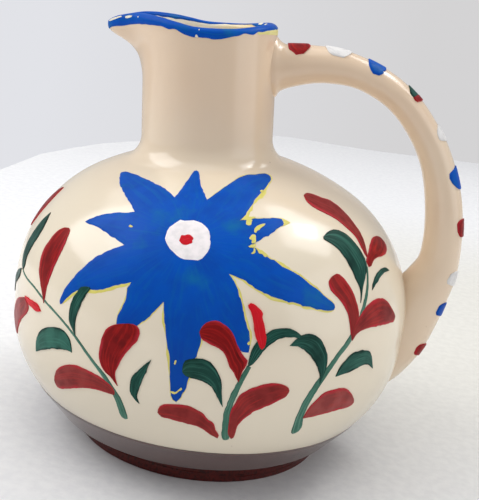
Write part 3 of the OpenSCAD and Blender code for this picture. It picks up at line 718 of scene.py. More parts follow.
def cells(reach, least, most):
    """How many faces of a painted mark go along a reach."""
    return min(most, max(least, round(reach / COAT_CELL)))


def brush_mark(name, sides, rows=0, columns=0, ragged=0.0):
    """One flat stroke of the brush between its two sides, facing up, with ragged edges if asked."""
    left, right = (curve_through(side) for side in sides)
    steps = between(0, 1, 12)
    middle = [left(u).lerp(right(u), 0.5) for u in steps]
    long = sum((b - a).length for a, b in zip(middle, middle[1:]))
    wide = max((left(u) - right(u)).length for u in steps)

    def place(u, v):
        spot = left(u).lerp(right(u), v)
        across = right(u) - left(u)
        if ragged and across.length > 0.01:
            shake = sum(size * noise.noise((*(spot * pitch), seed)) for pitch, seed, size in SHAKES)
            ends = smooth(6 * u) * smooth(6 - 6 * u)
            spot += across.normalized() * shake * ragged * (2 * v - 1) * ends
        return spot.to_3d() * MM

    piece = sheet(name, columns or cells(long, 16, 60), rows or cells(wide, 9, 18), place)
    weld(piece, outward=False)
    if sum(face.normal.z * face.area for face in piece.data.polygons) < 0:
        flip(piece)
    return piece


def flip(piece):
    """Turns a sheet's faces over."""
    pick(piece)
    bpy.ops.object.mode_set(mode="EDIT")
    bpy.ops.mesh.select_all(action="SELECT")
    bpy.ops.mesh.flip_normals()
    bpy.ops.object.mode_set(mode="OBJECT")


def wrap_on(piece, place, coat):
    """Wraps a flat mark round what carries it, by place(x, y, lift), and gives it its coat."""
    x, y, _ = sum((v.co for v in piece.data.vertices), Vector()) / len(piece.data.vertices) / MM
    out = place(x, y, MM) - place(x, y, 0)
    for vertex in piece.data.vertices:
        vertex.co = place(vertex.co.x / MM, vertex.co.y / MM, SKIN)
    if sum((face.normal * face.area for face in piece.data.polygons), Vector()).dot(out) < 0:
        flip(piece)
    thicken(piece, coat)


def belly_sheet(turn, tilt, height):
    """Where a flat drawing stands that faces the belly."""
    return (Matrix.Translation((0, 0, height)) @ Matrix.Rotation(math.radians(turn), 4, "Z")
            @ Matrix.Rotation(math.radians(90 - tilt), 4, "X"))


def lay_on(piece, stand, carrier, coat, over):
    """Lays a flat mark on what carries it and gives it its coat, as far over the usual as asked."""
    piece.matrix_world = stand @ Matrix.Translation((0, 0, DRAWING_AWAY))
    pick(piece)
    wrap = piece.modifiers.new("lay", "SHRINKWRAP")
    wrap.target, wrap.wrap_method = carrier, "PROJECT"
    wrap.use_project_z = wrap.use_negative_direction = True
    wrap.use_positive_direction = False
    bpy.ops.object.modifier_apply(modifier=wrap.name)
    bpy.ops.object.transform_apply(location=True, rotation=True, scale=True)
    thicken(piece, coat, over)


def thicken(piece, coat, over=0.0):
    """Gives a laid sheet the body of its coat, which thins at the edge."""
    middle, edge = COATS[coat]
    pick(piece)
    bpy.ops.object.mode_set(mode="EDIT")
    bpy.ops.mesh.select_mode(type="VERT")
    bpy.ops.mesh.select_all(action="DESELECT")
    bpy.ops.mesh.select_non_manifold()
    bpy.ops.object.mode_set(mode="OBJECT")
    full = piece.vertex_groups.new(name="full")
    full.add([v.index for v in piece.data.vertices if not v.select], 1.0, "REPLACE")
    body = piece.modifiers.new("coat", "SOLIDIFY")
    body.thickness, body.offset = middle * MM + over, 1
    body.vertex_group = full.name
    body.thickness_vertex_group = edge * MM / body.thickness
    bpy.ops.object.modifier_apply(modifier=body.name)
    piece.vertex_groups.clear()


def note(piece, name, values):
    """Gives the points of a piece values that its material reads."""
    attribute = piece.data.attributes.new(name, "FLOAT", "POINT")
    attribute.data.foreach_set("value", values)


def note_all(piece, name, value):
    """Gives all of a piece one value that its material reads."""
    note(piece, name, [value] * len(piece.data.vertices))


def join(name, pieces):
    """Makes one piece of several."""
    pick(*pieces)
    if len(pieces) > 1:
        bpy.ops.object.join()
    return name_new(name)


def dress(piece, finish, slot, *nodes):
    """Finishes a piece: its material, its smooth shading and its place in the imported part."""
    piece.data.materials.clear()
    piece.data.materials.append(finish)
    pick(piece)
    bpy.ops.object.shade_smooth_by_angle(angle=SHARP)
    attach(piece, "root")
    if nodes:
        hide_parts(*nodes)


# Kinds of node that the finishes use more than once, with their settings.
PLACE = ("ShaderNodeTexCoord",)
SPLIT = ("ShaderNodeSeparateXYZ",)
STRETCH = ("ShaderNodeMapping",)
NOISE = ("ShaderNodeTexNoise",)
RANGE = ("ShaderNodeMapRange",)
EASE = ("ShaderNodeMapRange", ("interpolation_type", "SMOOTHSTEP"))
MIX = ("ShaderNodeMix", ("data_type", "RGBA"))
TIMES = ("ShaderNodeMath", ("operation", "MULTIPLY"))
TIMES_PLUS = ("ShaderNodeMath", ("operation", "MULTIPLY_ADD"))
BUMP = ("ShaderNodeBump",)
BACKGROUND = ("ShaderNodeBackground",)


def add_node(tree, kind, *values, **named):
    """Adds one node of a kind and sets or links its inputs, in their order or by name.

    A node among the values stands for its first output.
    """
    node = tree.nodes.new(kind[0])
    for key, setting in kind[1:]:
        setattr(node, key, setting)
    sockets = [socket for socket in node.inputs if socket.enabled]
    given = [*zip(sockets, values), *((node.inputs[name], named[name]) for name in named)]
    for socket, value in given:
        if isinstance(value, bpy.types.Node):
            value = next(output for output in value.outputs if output.enabled)
        if isinstance(value, bpy.types.NodeSocket):
            tree.links.new(value, socket)
        else:
            socket.default_value = value
    return node


def new_finish(name):
    """An empty material, and the places that its patterns read."""
    finish = bpy.data.materials.new(name)
    finish.use_nodes = True
    finish.node_tree.nodes.clear()
    return finish, finish.node_tree, add_node(finish.node_tree, PLACE).outputs


def shade(finish, settings):
    """Closes a material with its shader."""
    shader = add_node(finish.node_tree, ("ShaderNodeBsdfPrincipled",), **settings)
    add_node(finish.node_tree, ("ShaderNodeOutputMaterial",), shader)
    return finish


def tin_glaze(colours):
    """Opaque cream glaze, dipped and fired: wet gloss, faint clouding, iron specks.

    It is warmer where it lies thin. Up the neck it is warmer and darker, partly its own tone and
    partly painted shade. Low on the belly it is greyer and darker, which is painted shade. It is
    yellow where it pools in the neck, and near-white inside on the lip's side, a painted glare.
    """
    finish, tree, place = new_finish("tin_glaze_cream")
    spot = place["Object"]
    x, _, z = add_node(tree, SPLIT, spot).outputs
    cloud = add_node(tree, NOISE, spot, Scale=1 / (28 * MM), Detail=3.0)
    # Warmer and darker up the neck: partly the glaze's own tone, partly painted shade.
    rise = add_node(tree, EASE, z, 92 * MM, 150 * MM, 0.0, 0.8)
    thin = add_node(tree, ("ShaderNodeAttribute", ("attribute_name", "thin_glaze"))).outputs["Fac"]
    warm = add_node(tree, ("ShaderNodeMath", ("operation", "MAXIMUM")), rise, thin)
    drift = add_node(tree, TIMES_PLUS, cloud, 0.3, warm)
    tone = add_node(tree, MIX, drift, colours.cream, colours.warm_cream)
    # Greyer and darker low on the belly: painted shade, taken off where the glaze lies thin.
    low = add_node(tree, EASE, z, 66 * MM, 30 * MM, 0.0, 1.0)
    clamped = ("ShaderNodeMath", ("operation", "SUBTRACT"), ("use_clamp", True))
    tone = add_node(tree, MIX, add_node(tree, clamped, low, thin), tone, linear("#DED3BD"))
    inside = add_node(tree, ("ShaderNodeAttribute", ("attribute_name", "inside"))).outputs["Fac"]
    # Inside the neck: a painted glare, near-white on the lip's side, fading to the pooled yellow.
    back = add_node(tree, EASE, x, -22 * MM, 2 * MM, 0.0, 1.0)
    lining = add_node(tree, MIX, back, linear("#FFFAEC"), linear("#E2C886"))
    tone = add_node(tree, MIX, inside, tone, lining)
    specks = add_node(tree, ("ShaderNodeTexVoronoi",), spot, Scale=1 / (9 * MM)).outputs
    small = add_node(tree, RANGE, specks["Distance"], 0.02, 0.05, 0.55, 0.0)
    chosen = add_node(tree, ("ShaderNodeSeparateColor",), specks["Color"])
    few = add_node(tree, ("ShaderNodeMath", ("operation", "GREATER_THAN")), chosen, 0.72)
    tone = add_node(tree, MIX, add_node(tree, TIMES, small, few), tone, linear("#6E4E38"))
    ripple = add_node(tree, NOISE, spot, Scale=1 / (12 * MM), Detail=1.0)
    skin = add_node(tree, BUMP, Strength=0.06, Distance=0.3 * MM, Height=ripple)
    return shade(finish, {"Base Color": tone, "Normal": skin, "Roughness": 0.15, "IOR": 1.58})


def brown_glaze(colours):
    """Dark iron glaze over the heel: wet gloss that mirrors the table, redder where it is thin."""
    finish, tree, place = new_finish("iron_glaze_brown")
    rings = add_node(tree, STRETCH, place["Object"], Scale=(18, 18, 260))
    run = add_node(tree, NOISE, rings, Scale=1.0, Detail=4.0)
    thin = add_node(tree, RANGE, run, 0.4, 0.75, 0.0, 0.7)
    tone = add_node(tree, MIX, thin, colours.brown, linear("#5C3B34"))
    skin = add_node(tree, BUMP, Strength=0.1, Distance=0.3 * MM, Height=run)
    return shade(finish, {"Base Color": tone, "Normal": skin, "Roughness": 0.12, "IOR": 1.75})


def brown_foot(colours):
    """The turned foot under the same dip, worn by shelves: duller, redder, finely lined."""
    finish, tree, place = new_finish("turned_foot_brown")
    lines = add_node(tree, STRETCH, place["Object"], Scale=(30, 30, 700))
    turned = add_node(tree, NOISE, lines, Scale=1.0, Detail=4.0)
    tone = add_node(tree, MIX, turned, colours.foot, linear("#6A211B"))
    grit = add_node(tree, NOISE, place["Object"], Scale=1 / (0.9 * MM), Detail=2.0)
    dark = add_node(tree, RANGE, grit, 0.46, 0.62, 0.0, 0.75)
    tone = add_node(tree, MIX, dark, tone, linear("#1C0C0B"))
    dull = add_node(tree, RANGE, turned, 0.3, 0.7, 0.2, 0.45)
    skin = add_node(tree, BUMP, Strength=0.25, Distance=0.3 * MM, Height=turned)
    return shade(finish, {"Base Color": tone, "Normal": skin, "Roughness": dull, "IOR": 1.5,
                          "Specular IOR Level": 0.3})


def brush_enamel(name, body, deep, thin, edge=None, stain_and_low_shade=None, pale=None, streak=0.5, mottle=0.5,
                 gloss=0.34, patch=5):
    """Hand-brushed enamel: bristle streaks along the stroke, thick and thin patches.

    It is pale where a mark notes a wash. If asked it is stained in blooms and darkened low on
    the jug, which is painted shade, and drawn to its edges.
    """
    finish, tree, place = new_finish(name)
    spot, along = place["Object"], place["UV"]
    stroke = add_node(tree, STRETCH, along, Scale=(2.2, 9.0, 1.0))
    combined = ("ShaderNodeVectorMath", ("operation", "MULTIPLY_ADD"))
    drawn = add_node(tree, combined, spot, (40, 40, 40), stroke)
    bristle = add_node(tree, NOISE, drawn, Scale=1.0, Detail=4.0)
    cloud = add_node(tree, NOISE, spot, Scale=1 / (patch * MM), Detail=4.0)
    tone = add_node(tree, MIX, add_node(tree, RANGE, cloud, 0.42, 0.7, 0.0, mottle), body, deep)
    tone = add_node(tree, MIX, add_node(tree, RANGE, bristle, 0.48, 0.72, 0.0, streak), tone, thin)
    wash = add_node(tree, ("ShaderNodeAttribute", ("attribute_name", "wash"))).outputs["Fac"]
    spread = add_node(tree, RANGE, cloud, 0.35, 0.6, 1.0, 0.6)
    tone = add_node(tree, MIX, add_node(tree, TIMES, wash, spread), tone, pale or thin)
    if stain_and_low_shade:
        # Darker low on the jug: painted shade.
        height = add_node(tree, SPLIT, spot).outputs["Z"]
        low = add_node(tree, EASE, height, 95 * MM, 40 * MM, 0.0, 0.75)
        tone = add_node(tree, MIX, low, tone, deep)
        bloom = add_node(tree, NOISE, spot, Scale=1 / (11 * MM), Detail=5.0)
        worn = add_node(tree, RANGE, bloom, 0.56, 0.74, 0.0, 0.45)
        tone = add_node(tree, MIX, worn, tone, stain_and_low_shade)
    if edge:
        across = add_node(tree, SPLIT, along).outputs["Y"]
        side = add_node(tree, ("ShaderNodeMath", ("operation", "SUBTRACT")), across, 0.5)
        away = add_node(tree, ("ShaderNodeMath", ("operation", "ABSOLUTE")), side)
        shaky = add_node(tree, TIMES_PLUS, cloud, 0.3, away)
        rim = add_node(tree, EASE, shaky, 0.5, 0.66, 0.0, 0.85)
        tone = add_node(tree, MIX, rim, tone, edge)
    dull = add_node(tree, RANGE, cloud, 0.3, 0.7, gloss - 0.06, gloss + 0.1)
    relief = add_node(tree, ("ShaderNodeMath", ("operation", "ADD")), bristle, cloud)
    skin = add_node(tree, BUMP, Strength=0.25, Distance=0.2 * MM, Height=relief)
    return shade(finish, {"Base Color": tone, "Normal": skin, "Roughness": dull, "IOR": 1.48,
                          "Specular IOR Level": 0.07})


# Brushed enamels: what each one is where it lies thick and thin, and what else sets it apart.
ENAMELS = {
    "blue": {"deep": "#063D98", "thin": "#0E66A6", "stain_and_low_shade": "#17748C", "streak": 0.4, "patch": 8},
    "yellow": {"deep": "#C8BE62", "thin": "#EDE5AC"},
    "white": {"deep": "#C4C2C2", "thin": "#EEEBE8", "pale": "#FCF4F4", "mottle": 0.6, "gloss": 0.4,
              "patch": 2.5},
    "red": {"deep": "#5C1113", "thin": "#B4221F", "edge": "#BA2C38", "pale": "#A05652",
            "streak": 0.8, "mottle": 0.8},
    "bright_red": {"deep": "#A61420", "thin": "#E23C46"},
    "green": {"deep": "#122F29", "thin": "#3F7868", "edge": "#122B26",
              "streak": 0.7, "mottle": 0.7},
    "stem": {"deep": "#2E5A4A", "thin": "#7FA390", "edge": "#2A5546",
             "streak": 0.7, "mottle": 0.7},
    "worn": {"deep": "#DDD2AE", "thin": "#FAF7EA"},
}
GLAZES = {"cream": tin_glaze, "brown": brown_glaze, "foot": brown_foot}
FINISHES = {}


def finish_of(name):
    """The finish of this name, made the first time that a piece asks for it."""
    if name not in FINISHES:
        colours = bpy.context.scene.jug_colours
        if name in GLAZES:
            FINISHES[name] = GLAZES[name](colours)
        else:
            looks = {key: linear(look) if isinstance(look, str) else look
                     for key, look in ENAMELS[name].items()}
            body = getattr(colours, name)
            FINISHES[name] = brush_enamel(f"brushed_enamel_{name}", body, **looks)
    return FINISHES[name]


class JUG_OT_throw_body(bpy.types.Operator):
    """Throw the belly and the leaning neck with its pulled lip"""

    bl_idname = "jug.throw_body"
    bl_label = "Body"

    def execute(self, context):
        sizes = context.scene.jug_sizes
        lines = JugLines(sizes)
        base, floor = sizes.foot_height, sizes.foot_height + sizes.floor
        lining = [*reversed(lines.bowl(sizes.wall)), (0, floor)]
        bowl = lathe("bowl_body", [(0, base), *lines.bowl(0), *lining])
        dress(bowl, finish_of("cream"), "cream_glaze", "belly_bowl")
        lining = lines.shoulder(sizes.wall)[::-1]
        dome = lathe("shoulder_body", lines.shoulder(0) + lining, closed=True)
        reshape(dome, lines.lean)
        dress(dome, finish_of("cream"), "cream_glaze", "shoulder_dome")
        half = sizes.wall / 2
        middle = sizes.neck_radius - half
        rim = arc(middle, lines.rim - half, half, between(0, math.pi, 12)[1:-1])
        lining = lines.neck(sizes.wall)[::-1]
        neck = lathe("neck_and_lip", lines.neck(0) + rim + lining, closed=True)
        note(neck, "inside", [float(v.co.z > lines.flare_z and math.hypot(*v.co.xy) < middle)
                              for v in neck.data.vertices])
        reshape(neck, lines.pull, lines.lean)
        dress(neck, finish_of("cream"), "cream_glaze", "neck", "pouring_lip")
        return {"FINISHED"}


class JUG_OT_turn_foot(bpy.types.Operator):
    """Turn the foot ring with its eased edges"""

    bl_idname = "jug.turn_foot"
    bl_label = "Foot ring"

    def execute(self, context):
        sizes = context.scene.jug_sizes
        r, h = sizes.foot_radius, sizes.foot_height
        inner, ease = r - FOOT_WIDE, FOOT_EASE
        line = [(inner, h), (inner, ease), (inner + ease, 0), (r - ease, 0),
                (r - 0.3 * ease, 0.3 * ease), (r, ease), (r, h / 2), (r, h)]
        foot = lathe("turned_foot", line, closed=True)
        reshape(foot, lambda point: point + Vector((sizes.foot_shift, 0, 0)))
        dress(foot, finish_of("foot"), "brown_ware", "foot_ring")
        return {"FINISHED"}


def handle_point(run, share, turn, lift):
    """Point of the handle's skin: hundredths of its run, degrees from its ridge to the front."""
    ox, oz, ix, iz, width = run(share / 100)
    turn = math.radians(turn)
    middle, half = Vector((ox + ix, 0, oz + iz)) / 2, Vector((ox - ix, 0, oz - iz)) / 2
    side = Vector((0, -width / 2, 0))
    out = (half * (math.cos(turn) / half.length_squared)
           + side * (math.sin(turn) / side.length_squared))
    return middle + half * math.cos(turn) + side * math.sin(turn) + out.normalized() * lift


def handle_run():
    """The handle's stations as one smooth run, in metres."""
    return curve_through([Vector(station) * MM for station in HANDLE])


class JUG_OT_pull_handle(bpy.types.Operator):
    """Pull the loop handle and smear its two roots into the jug"""

    bl_idname = "jug.pull_handle"
    bl_label = "Handle"

    def execute(self, context):
        run = handle_run()
        along, around = HANDLE_STEPS
        handle = sheet("loop_handle", along, around,
                       lambda u, v: handle_point(run, 100 * u, 360 * v, 0))
        weld(handle, fill=True)
        note_all(handle, "thin_glaze", HANDLE_THIN)
        dress(handle, finish_of("cream"), "cream_glaze", "handle_tube", "upper_handle_luting",
              "lower_handle_luting")
        return {"FINISHED"}


class JUG_OT_dip_brown(bpy.types.Operator):
    """Dip the lower belly in brown glaze"""

    bl_idname = "jug.dip_brown"
    bl_label = "Brown dip"

    def execute(self, context):
        sizes = context.scene.jug_sizes
        lines = JugLines(sizes)
        low = sizes.foot_height
        start = low + lines.EDGE
        edge = lines.heel(start, 0)
        inner = sizes.foot_radius - 1.5 * sizes.foot_shift
        (flat, _), (inwards, up) = lines.EASED
        ledge = [(r, low - SKIN) for r in between(inner, edge - flat, 3)]
        ledge.append((edge - inwards, low + up - SKIN))

        def place(u, v):
            turn = 2 * math.pi * u
            row = round(v * (len(ledge) + DIP_ROWS))
            if row < len(ledge):
                across, up = ledge[row]
            else:
                wander = noise.noise((2.2 * math.cos(turn), 2.2 * math.sin(turn), 3.0)) * DIP_WANDER
                share = (row - len(ledge)) / DIP_ROWS
                up = start + (sizes.dip_height + wander - start) * share
                across = lines.heel(up, -SKIN)
            return Vector((across * math.cos(turn), across * math.sin(turn), up))

        dip = sheet("brown_dip_coat", TURN_STEPS, len(ledge) + DIP_ROWS, place)
        weld(dip)
        thicken(dip, "dip")
        dress(dip, finish_of("brown"), "brown_glaze", "brown_dip")
        return {"FINISHED"}


class JUG_OT_band_rim(bpy.types.Operator):
    """Band the rim and the lip in blue, over a smear of yellow and chipped along its crest"""

    bl_idname = "jug.band_rim"
    bl_label = "Rim band"

    def execute(self, context):
        lines = JugLines(context.scene.jug_sizes)
        outside, inside = graph(RIM_OUTSIDE), graph(RIM_INSIDE)

        def place(u, v):
            around = 360 * u
            turn, nearest = math.radians(around), min(around, 360 - around)
            spot = Vector((9 * math.cos(turn), 9 * math.sin(turn), 0))
            low = outside(nearest) + RIM_WAVER * noise.noise(spot)
            deep = inside(nearest) + RIM_WAVER * noise.noise(spot + Vector((0, 0, 9)))
            return lines.rim_point(around, ((low + deep) * v - deep) * MM, SKIN)

        def on_rim(around, along, lift):
            return lines.rim_point(around, along * MM, lift)

        band = sheet("rim_band", 2 * TURN_STEPS, BAND_ROWS, place)
        weld(band)
        thicken(band, "blue")
        dress(band, finish_of("blue"), "blue_enamel", "rim_enamel")
        smear = brush_mark("rim_undercoat", halves(RIM_YELLOW))
        note_all(smear, "wash", SMEAR_WASH)
        wrap_on(smear, on_rim, "smear")
        dress(smear, finish_of("yellow"), "yellow_enamel")
        chips = [brush_mark("rim_chips", halves(loop)) for loop in RIM_CHIPS]
        for chip in chips:
            wrap_on(chip, on_rim, "chip")
        dress(join("rim_chips", chips), finish_of("worn"), "cream_glaze")
        return {"FINISHED"}


def paint_form(sizes):
    """The belly's outer skin alone, to lay the marks on."""
    lines = JugLines(sizes)
    skin = lathe("paint_form", lines.bowl(0) + lines.shoulder(0)[1:] + lines.neck(0)[1:])
    reshape(skin, lines.lean)
    return skin


def paint(name, form, drawings, coat, step=0.0):
    """Lays each mark of the drawings on the belly, each a step over the last, and joins them."""
    height = bpy.context.scene.jug_sizes.equator_height
    marks = []
    for (turn, tilt), strokes in drawings.items():
        stand = belly_sheet(turn, tilt, height)
        for sides in strokes:
            drawn = isinstance(sides, bpy.types.Object)
            mark = sides if drawn else brush_mark(name, sides[:2], ragged=MARK_RAGGED)
            note_all(mark, "wash", 0.0 if drawn or len(sides) < 3 else sides[2])
            lay_on(mark, stand, form, coat, step * len(marks))
            marks.append(mark)
    return join(name, marks)


def leaf_sides(drawings):
    """Drawings of leaves with both sides of each one in full, from its foot to its tip."""
    return {stand: [(left, [left[0], *right, left[-1]], *wash) for left, right, *wash in leaves]
            for stand, leaves in drawings.items()}


def on_flower(points):
    """Points moved to where the flower stands."""
    return [(x + EYE_AT[0], y + EYE_AT[1]) for x, y in points]


def widened(left, right, left_out, right_out, tip_out):
    """A petal's sides, each moved outwards between its notch and its tip, and its tip drawn on."""
    left, right = curve_through(left), curve_through(right)
    ahead = (left(1) - left(0).lerp(right(0), 0.5)).normalized()
    wide = ([], [])
    across = left(0) - right(0)
    for u in between(0, 1, 24):
        gap = left(u) - right(u)
        across = gap if gap.length > 0.1 else across
        patchy = 0.75 + noise.noise((left(u) * 0.22).to_3d())
        out = across.normalized() * math.sqrt(abs(math.sin(math.pi * u))) * patchy
        reach = ahead * tip_out * u ** 8
        wide[0].append(left(u) + out * left_out + reach)
        wide[1].append(right(u) - out * right_out + reach)
    return wide


def star_sheet(name, spread=None):
    """The flat star: a fan of heart and petal strokes, welded."""
    strokes = []
    for i, (left, right) in enumerate(PETALS):
        notch = PETALS[(i + 1) % len(PETALS)][0][0]
        left, right = on_flower(left), on_flower([notch, *right, left[-1]])
        heart = ([EYE_AT, left[0]], [EYE_AT, right[0]])
        strokes.append(brush_mark(name, heart, rows=PETAL_ROWS, columns=HEART_COLUMNS))
        if spread:
            left, right = widened(left, right, *spread[i])
        strokes.append(brush_mark(name, (left, right), rows=PETAL_ROWS, ragged=PETAL_RAGGED))
    star = join(name, strokes)
    weld(star, outward=False)
    return star


class JUG_OT_paint_star(bpy.types.Operator):
    """Paint the star flower with its undercoat, eye and pip"""

    bl_idname = "jug.paint_star"
    bl_label = "Star flower"

    def execute(self, context):
        form = paint_form(context.scene.jug_sizes)

        def flower(name, coat, *marks):
            return paint(name, form, {STAR_SHEET: marks}, coat)

        under = flower("under", "undercoat", star_sheet("under", UNDERCOAT))
        flakes_and_glint = flower("flakes_and_glint", "chip", *(halves(on_flower(loop)) for loop in FLAKES_AND_GLINT))
        under = join("star_undercoat_coat", [under, flakes_and_glint])
        dress(under, finish_of("yellow"), "yellow_enamel", "star_undercoat")
        petals = flower("star_petals_coat", "blue", star_sheet("petals"))
        dress(petals, finish_of("blue"), "blue_enamel", "star_petals")
        eye = flower("star_eye_coat", "eye", (*halves(on_flower(EYE)), EYE_WASH))
        dress(eye, finish_of("white"), "white_enamel", "star_eye")
        pip = flower("star_pip_coat", "pip", halves(on_flower(PIP)))
        dress(pip, finish_of("bright_red"), "red_enamel", "star_pip")
        bpy.data.objects.remove(form)
        return {"FINISHED"}


class JUG_OT_paint_leaves(bpy.types.Operator):
    """Paint the red and green leaves of the three sprigs"""

    bl_idname = "jug.paint_leaves"
    bl_label = "Leaves"

    def execute(self, context):
        form = paint_form(context.scene.jug_sizes)
        green = paint("green_leaves_coat", form, leaf_sides(GREEN_LEAVES), "green", COAT_STEP)
        dress(green, finish_of("green"), "green_enamel", "green_leaves")
        red = paint("red_leaves_coat", form, leaf_sides(RED_LEAVES), "red", COAT_STEP)
        dress(red, finish_of("red"), "red_enamel", "red_leaves")
        bright = paint("bright_leaf_coat", form, leaf_sides(BRIGHT_LEAF), "bright")
        dress(bright, finish_of("bright_red"), "red_enamel")
        bpy.data.objects.remove(form)
        return {"FINISHED"}


class JUG_OT_paint_stems(bpy.types.Operator):
    """Paint the thin stems that carry the leaves"""

    bl_idname = "jug.paint_stems"
    bl_label = "Stems"

    def execute(self, context):
        form = paint_form(context.scene.jug_sizes)
        drawings = {}
        for stand, (path, widths) in STEMS.items():
            run = curve_through(path)
            wide = graph([(i / (len(widths) - 1), width) for i, width in enumerate(widths)])
            long = sum((Vector(b) - Vector(a)).length for a, b in zip(path, path[1:]))
            sides = ([], [])
            for u in (*STEM_END, *between(0.05, 1, 20)):
                ahead = run(min(1, u + 0.01)) - run(max(0, u - 0.01))
                round_end = min(1.0, 2 * u * long / widths[0])
                half = wide(u) / 2 * math.sqrt(1 - (1 - round_end) ** 2)
                aside = Vector((-ahead.y, ahead.x)).normalized() * half
                wobble = 1 + 0.3 * noise.noise((u * 9, widths[0], 2.0))
                sides[0].append(run(u) + aside * wobble)
                sides[1].append(run(u) - aside)
            drawings[stand] = [sides]
        stems = paint("leaf_stems_coat", form, drawings, "stem")
        dress(stems, finish_of("stem"), "green_enamel", "leaf_stems")
        bpy.data.objects.remove(form)
        return {"FINISHED"}


class JUG_OT_dab_handle(bpy.types.Operator):
    """Dab the coloured spots along the handle's back"""

    bl_idname = "jug.dab_handle"
    bl_label = "Handle dabs"

    def execute(self, context):
        run = handle_run()

        def on_handle(share, turn, lift):
            return handle_point(run, share, turn, lift)

        for hue, loops in DABS.items():
            marks = [brush_mark(hue, halves(loop), DAB_CELLS, DAB_CELLS) for loop in loops]
            for mark in marks:
                wrap_on(mark, on_handle, "red_dab" if hue == "red" else "dab")
            dabs = join(f"{hue}_dabs", marks)
            dress(dabs, finish_of(hue), f"{hue}_enamel", f"handle_spots_{hue}")
        return {"FINISHED"}


def fleece():
    """White fleece of the cloth: short nap, slow creases, a little greyer in a painted shadow."""
    finish, tree, place = new_finish("fleece_white")
    spot = place["Object"]
    nap = add_node(tree, NOISE, spot, Scale=1 / (4 * MM), Detail=5.0)
    tufts = add_node(tree, RANGE, nap, 0.36, 0.64, 0.0, 1.0)
    clean = add_node(tree, MIX, tufts, linear("#E7E7E8"), linear("#EDEDED"))
    # The greyer colours, mixed in near the jug by distance: a painted shadow on the cloth.
    worn = add_node(tree, MIX, tufts, linear("#D8D6CF"), linear("#DEDCD5"))
    away = add_node(tree, ("ShaderNodeVectorMath", ("operation", "DISTANCE")), spot, CLOTH_SHADOW_AT)
    tone = add_node(tree, MIX, add_node(tree, EASE, away, 0.32, 0.06, 0.0, 1.0), clean, worn)
    drawn = add_node(tree, STRETCH, spot, Scale=(12, 34, 12))
    creases = add_node(tree, NOISE, drawn, Scale=1.0, Detail=3.0)
    lie = add_node(tree, TIMES_PLUS, creases, 2.0, nap)
    pile = add_node(tree, BUMP, Strength=0.12, Distance=1.5 * MM, Height=lie)
    return shade(finish, {"Base Color": tone, "Normal": pile, "Roughness": 0.95,
                          "Specular IOR Level": 0.1})


def lay_cloth():
    """The cloth that the jug stands on, level near it and a little uneven far behind."""
    edge = graph([(x * MM, y * MM) for x, y in CLOTH_EDGE])

    def place(u, v):
        x = CLOTH_HALF * (2 * u - 1)
        y = CLOTH_NEAR + (edge(x) - CLOTH_NEAR) * v
        uneven = CLOTH_WAVE * smooth((y - 0.25) / 0.4)
        return Vector((x, y, uneven * noise.noise((x * 4, y * 4, 2.0))))

    cloth = sheet("pale_cloth", *CLOTH_CELLS, place)
    cloth.data.materials.append(fleece())
    bpy.ops.object.shade_smooth()


def light_room(scene):
    """A pale room's light on the jug; a plain wall behind it, with painted shade to the right."""
    world = bpy.data.worlds.new("soft_room")
    scene.world = world
    world.use_nodes = True
    tree = world.node_tree
    tree.nodes.clear()
    room = add_node(tree, BACKGROUND, linear("#F4F5FA"), 0.46)
    way = add_node(tree, PLACE).outputs["Generated"]
    # The wall seen behind the jug darkens to the right: painted shade.
    aside = add_node(tree, SPLIT, way).outputs["X"]
    right = add_node(tree, RANGE, aside, -0.25, 0.13, 0.0, 1.0)
    wall_painted_shade = add_node(tree, MIX, right, linear("#E2E3E8"), linear("#D4D3D4"))
    wall = add_node(tree, BACKGROUND, wall_painted_shade, 1.0)
    seen = add_node(tree, ("ShaderNodeLightPath",)).outputs["Is Camera Ray"]
    shown = add_node(tree, ("ShaderNodeMixShader",), seen, room, wall)
    add_node(tree, ("ShaderNodeOutputWorld",), shown)


def hang_lamps(scene):
    """The windows and the soft lights, each turned to the jug's middle."""
    for name, toward, away, size, power in LAMPS:
        lamp = bpy.data.lights.new(name, "AREA")
        lamp.shape, lamp.energy = "RECTANGLE", power
        lamp.size, lamp.size_y = size
        piece = bpy.data.objects.new(name, lamp)
        scene.collection.objects.link(piece)
        piece.location = LAMP_AIM + Vector(toward).normalized() * away
        piece.rotation_euler = (piece.location - LAMP_AIM).to_track_quat("Z", "Y").to_euler()


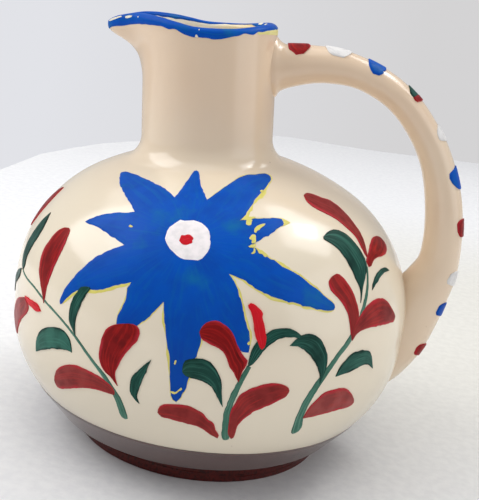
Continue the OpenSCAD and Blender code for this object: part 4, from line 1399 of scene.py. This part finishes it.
def set_camera(scene):
    """The view of the photo."""
    view = bpy.data.cameras.new("view")
    view.sensor_fit, view.sensor_height, view.lens = "VERTICAL", CAMERA_SENSOR, CAMERA_LENS
    camera = bpy.data.objects.new("view", view)
    scene.collection.objects.link(camera)
    camera.location = CAMERA_AT
    camera.rotation_euler = Euler([math.radians(turn) for turn in CAMERA_TURN])
    scene.camera = camera


class JUG_OT_set_stage(bpy.types.Operator):
    """Set the pale cloth, the soft lights and the camera"""

    bl_idname = "jug.set_stage"
    bl_label = "Stage"

    def execute(self, context):
        context.scene.view_settings.view_transform = "Standard"
        lay_cloth()
        light_room(context.scene)
        hang_lamps(context.scene)
        set_camera(context.scene)
        return {"FINISHED"}


OPERATORS = (JUG_OT_throw_body, JUG_OT_turn_foot, JUG_OT_pull_handle, JUG_OT_dip_brown,
             JUG_OT_band_rim, JUG_OT_paint_star, JUG_OT_paint_stems, JUG_OT_paint_leaves,
             JUG_OT_dab_handle, JUG_OT_set_stage)


class JUG_PT_panel(bpy.types.Panel):
    """Sizes, colours and pieces of the jug"""

    bl_label = "Painted jug"
    bl_idname = "JUG_PT_panel"
    bl_space_type = "VIEW_3D"
    bl_region_type = "UI"
    bl_category = "Jug"

    def draw(self, context):
        for group in (context.scene.jug_sizes, context.scene.jug_colours):
            for key in group.__annotations__:
                self.layout.prop(group, key)
        for operator in OPERATORS:
            self.layout.operator(operator.bl_idname)


CLASSES = (JugSizes, JugColours, *OPERATORS, JUG_PT_panel)


def register():
    """Adds the classes and the scene's sizes and colours."""
    for item in CLASSES:
        bpy.utils.register_class(item)
    bpy.types.Scene.jug_sizes = PointerProperty(type=JugSizes)
    bpy.types.Scene.jug_colours = PointerProperty(type=JugColours)


def unregister():
    """Takes them away again."""
    del bpy.types.Scene.jug_colours
    del bpy.types.Scene.jug_sizes
    for item in reversed(CLASSES):
        bpy.utils.unregister_class(item)


def main():
    """Makes the jug piece by piece and sets its stage."""
    register()
    bpy.ops.jug.throw_body()
    bpy.ops.jug.turn_foot()
    bpy.ops.jug.pull_handle()
    bpy.ops.jug.dip_brown()
    bpy.ops.jug.band_rim()
    bpy.ops.jug.paint_star()
    bpy.ops.jug.paint_stems()
    bpy.ops.jug.paint_leaves()
    bpy.ops.jug.dab_handle()
    bpy.ops.jug.set_stage()


if __name__ == "__main__":
    main()
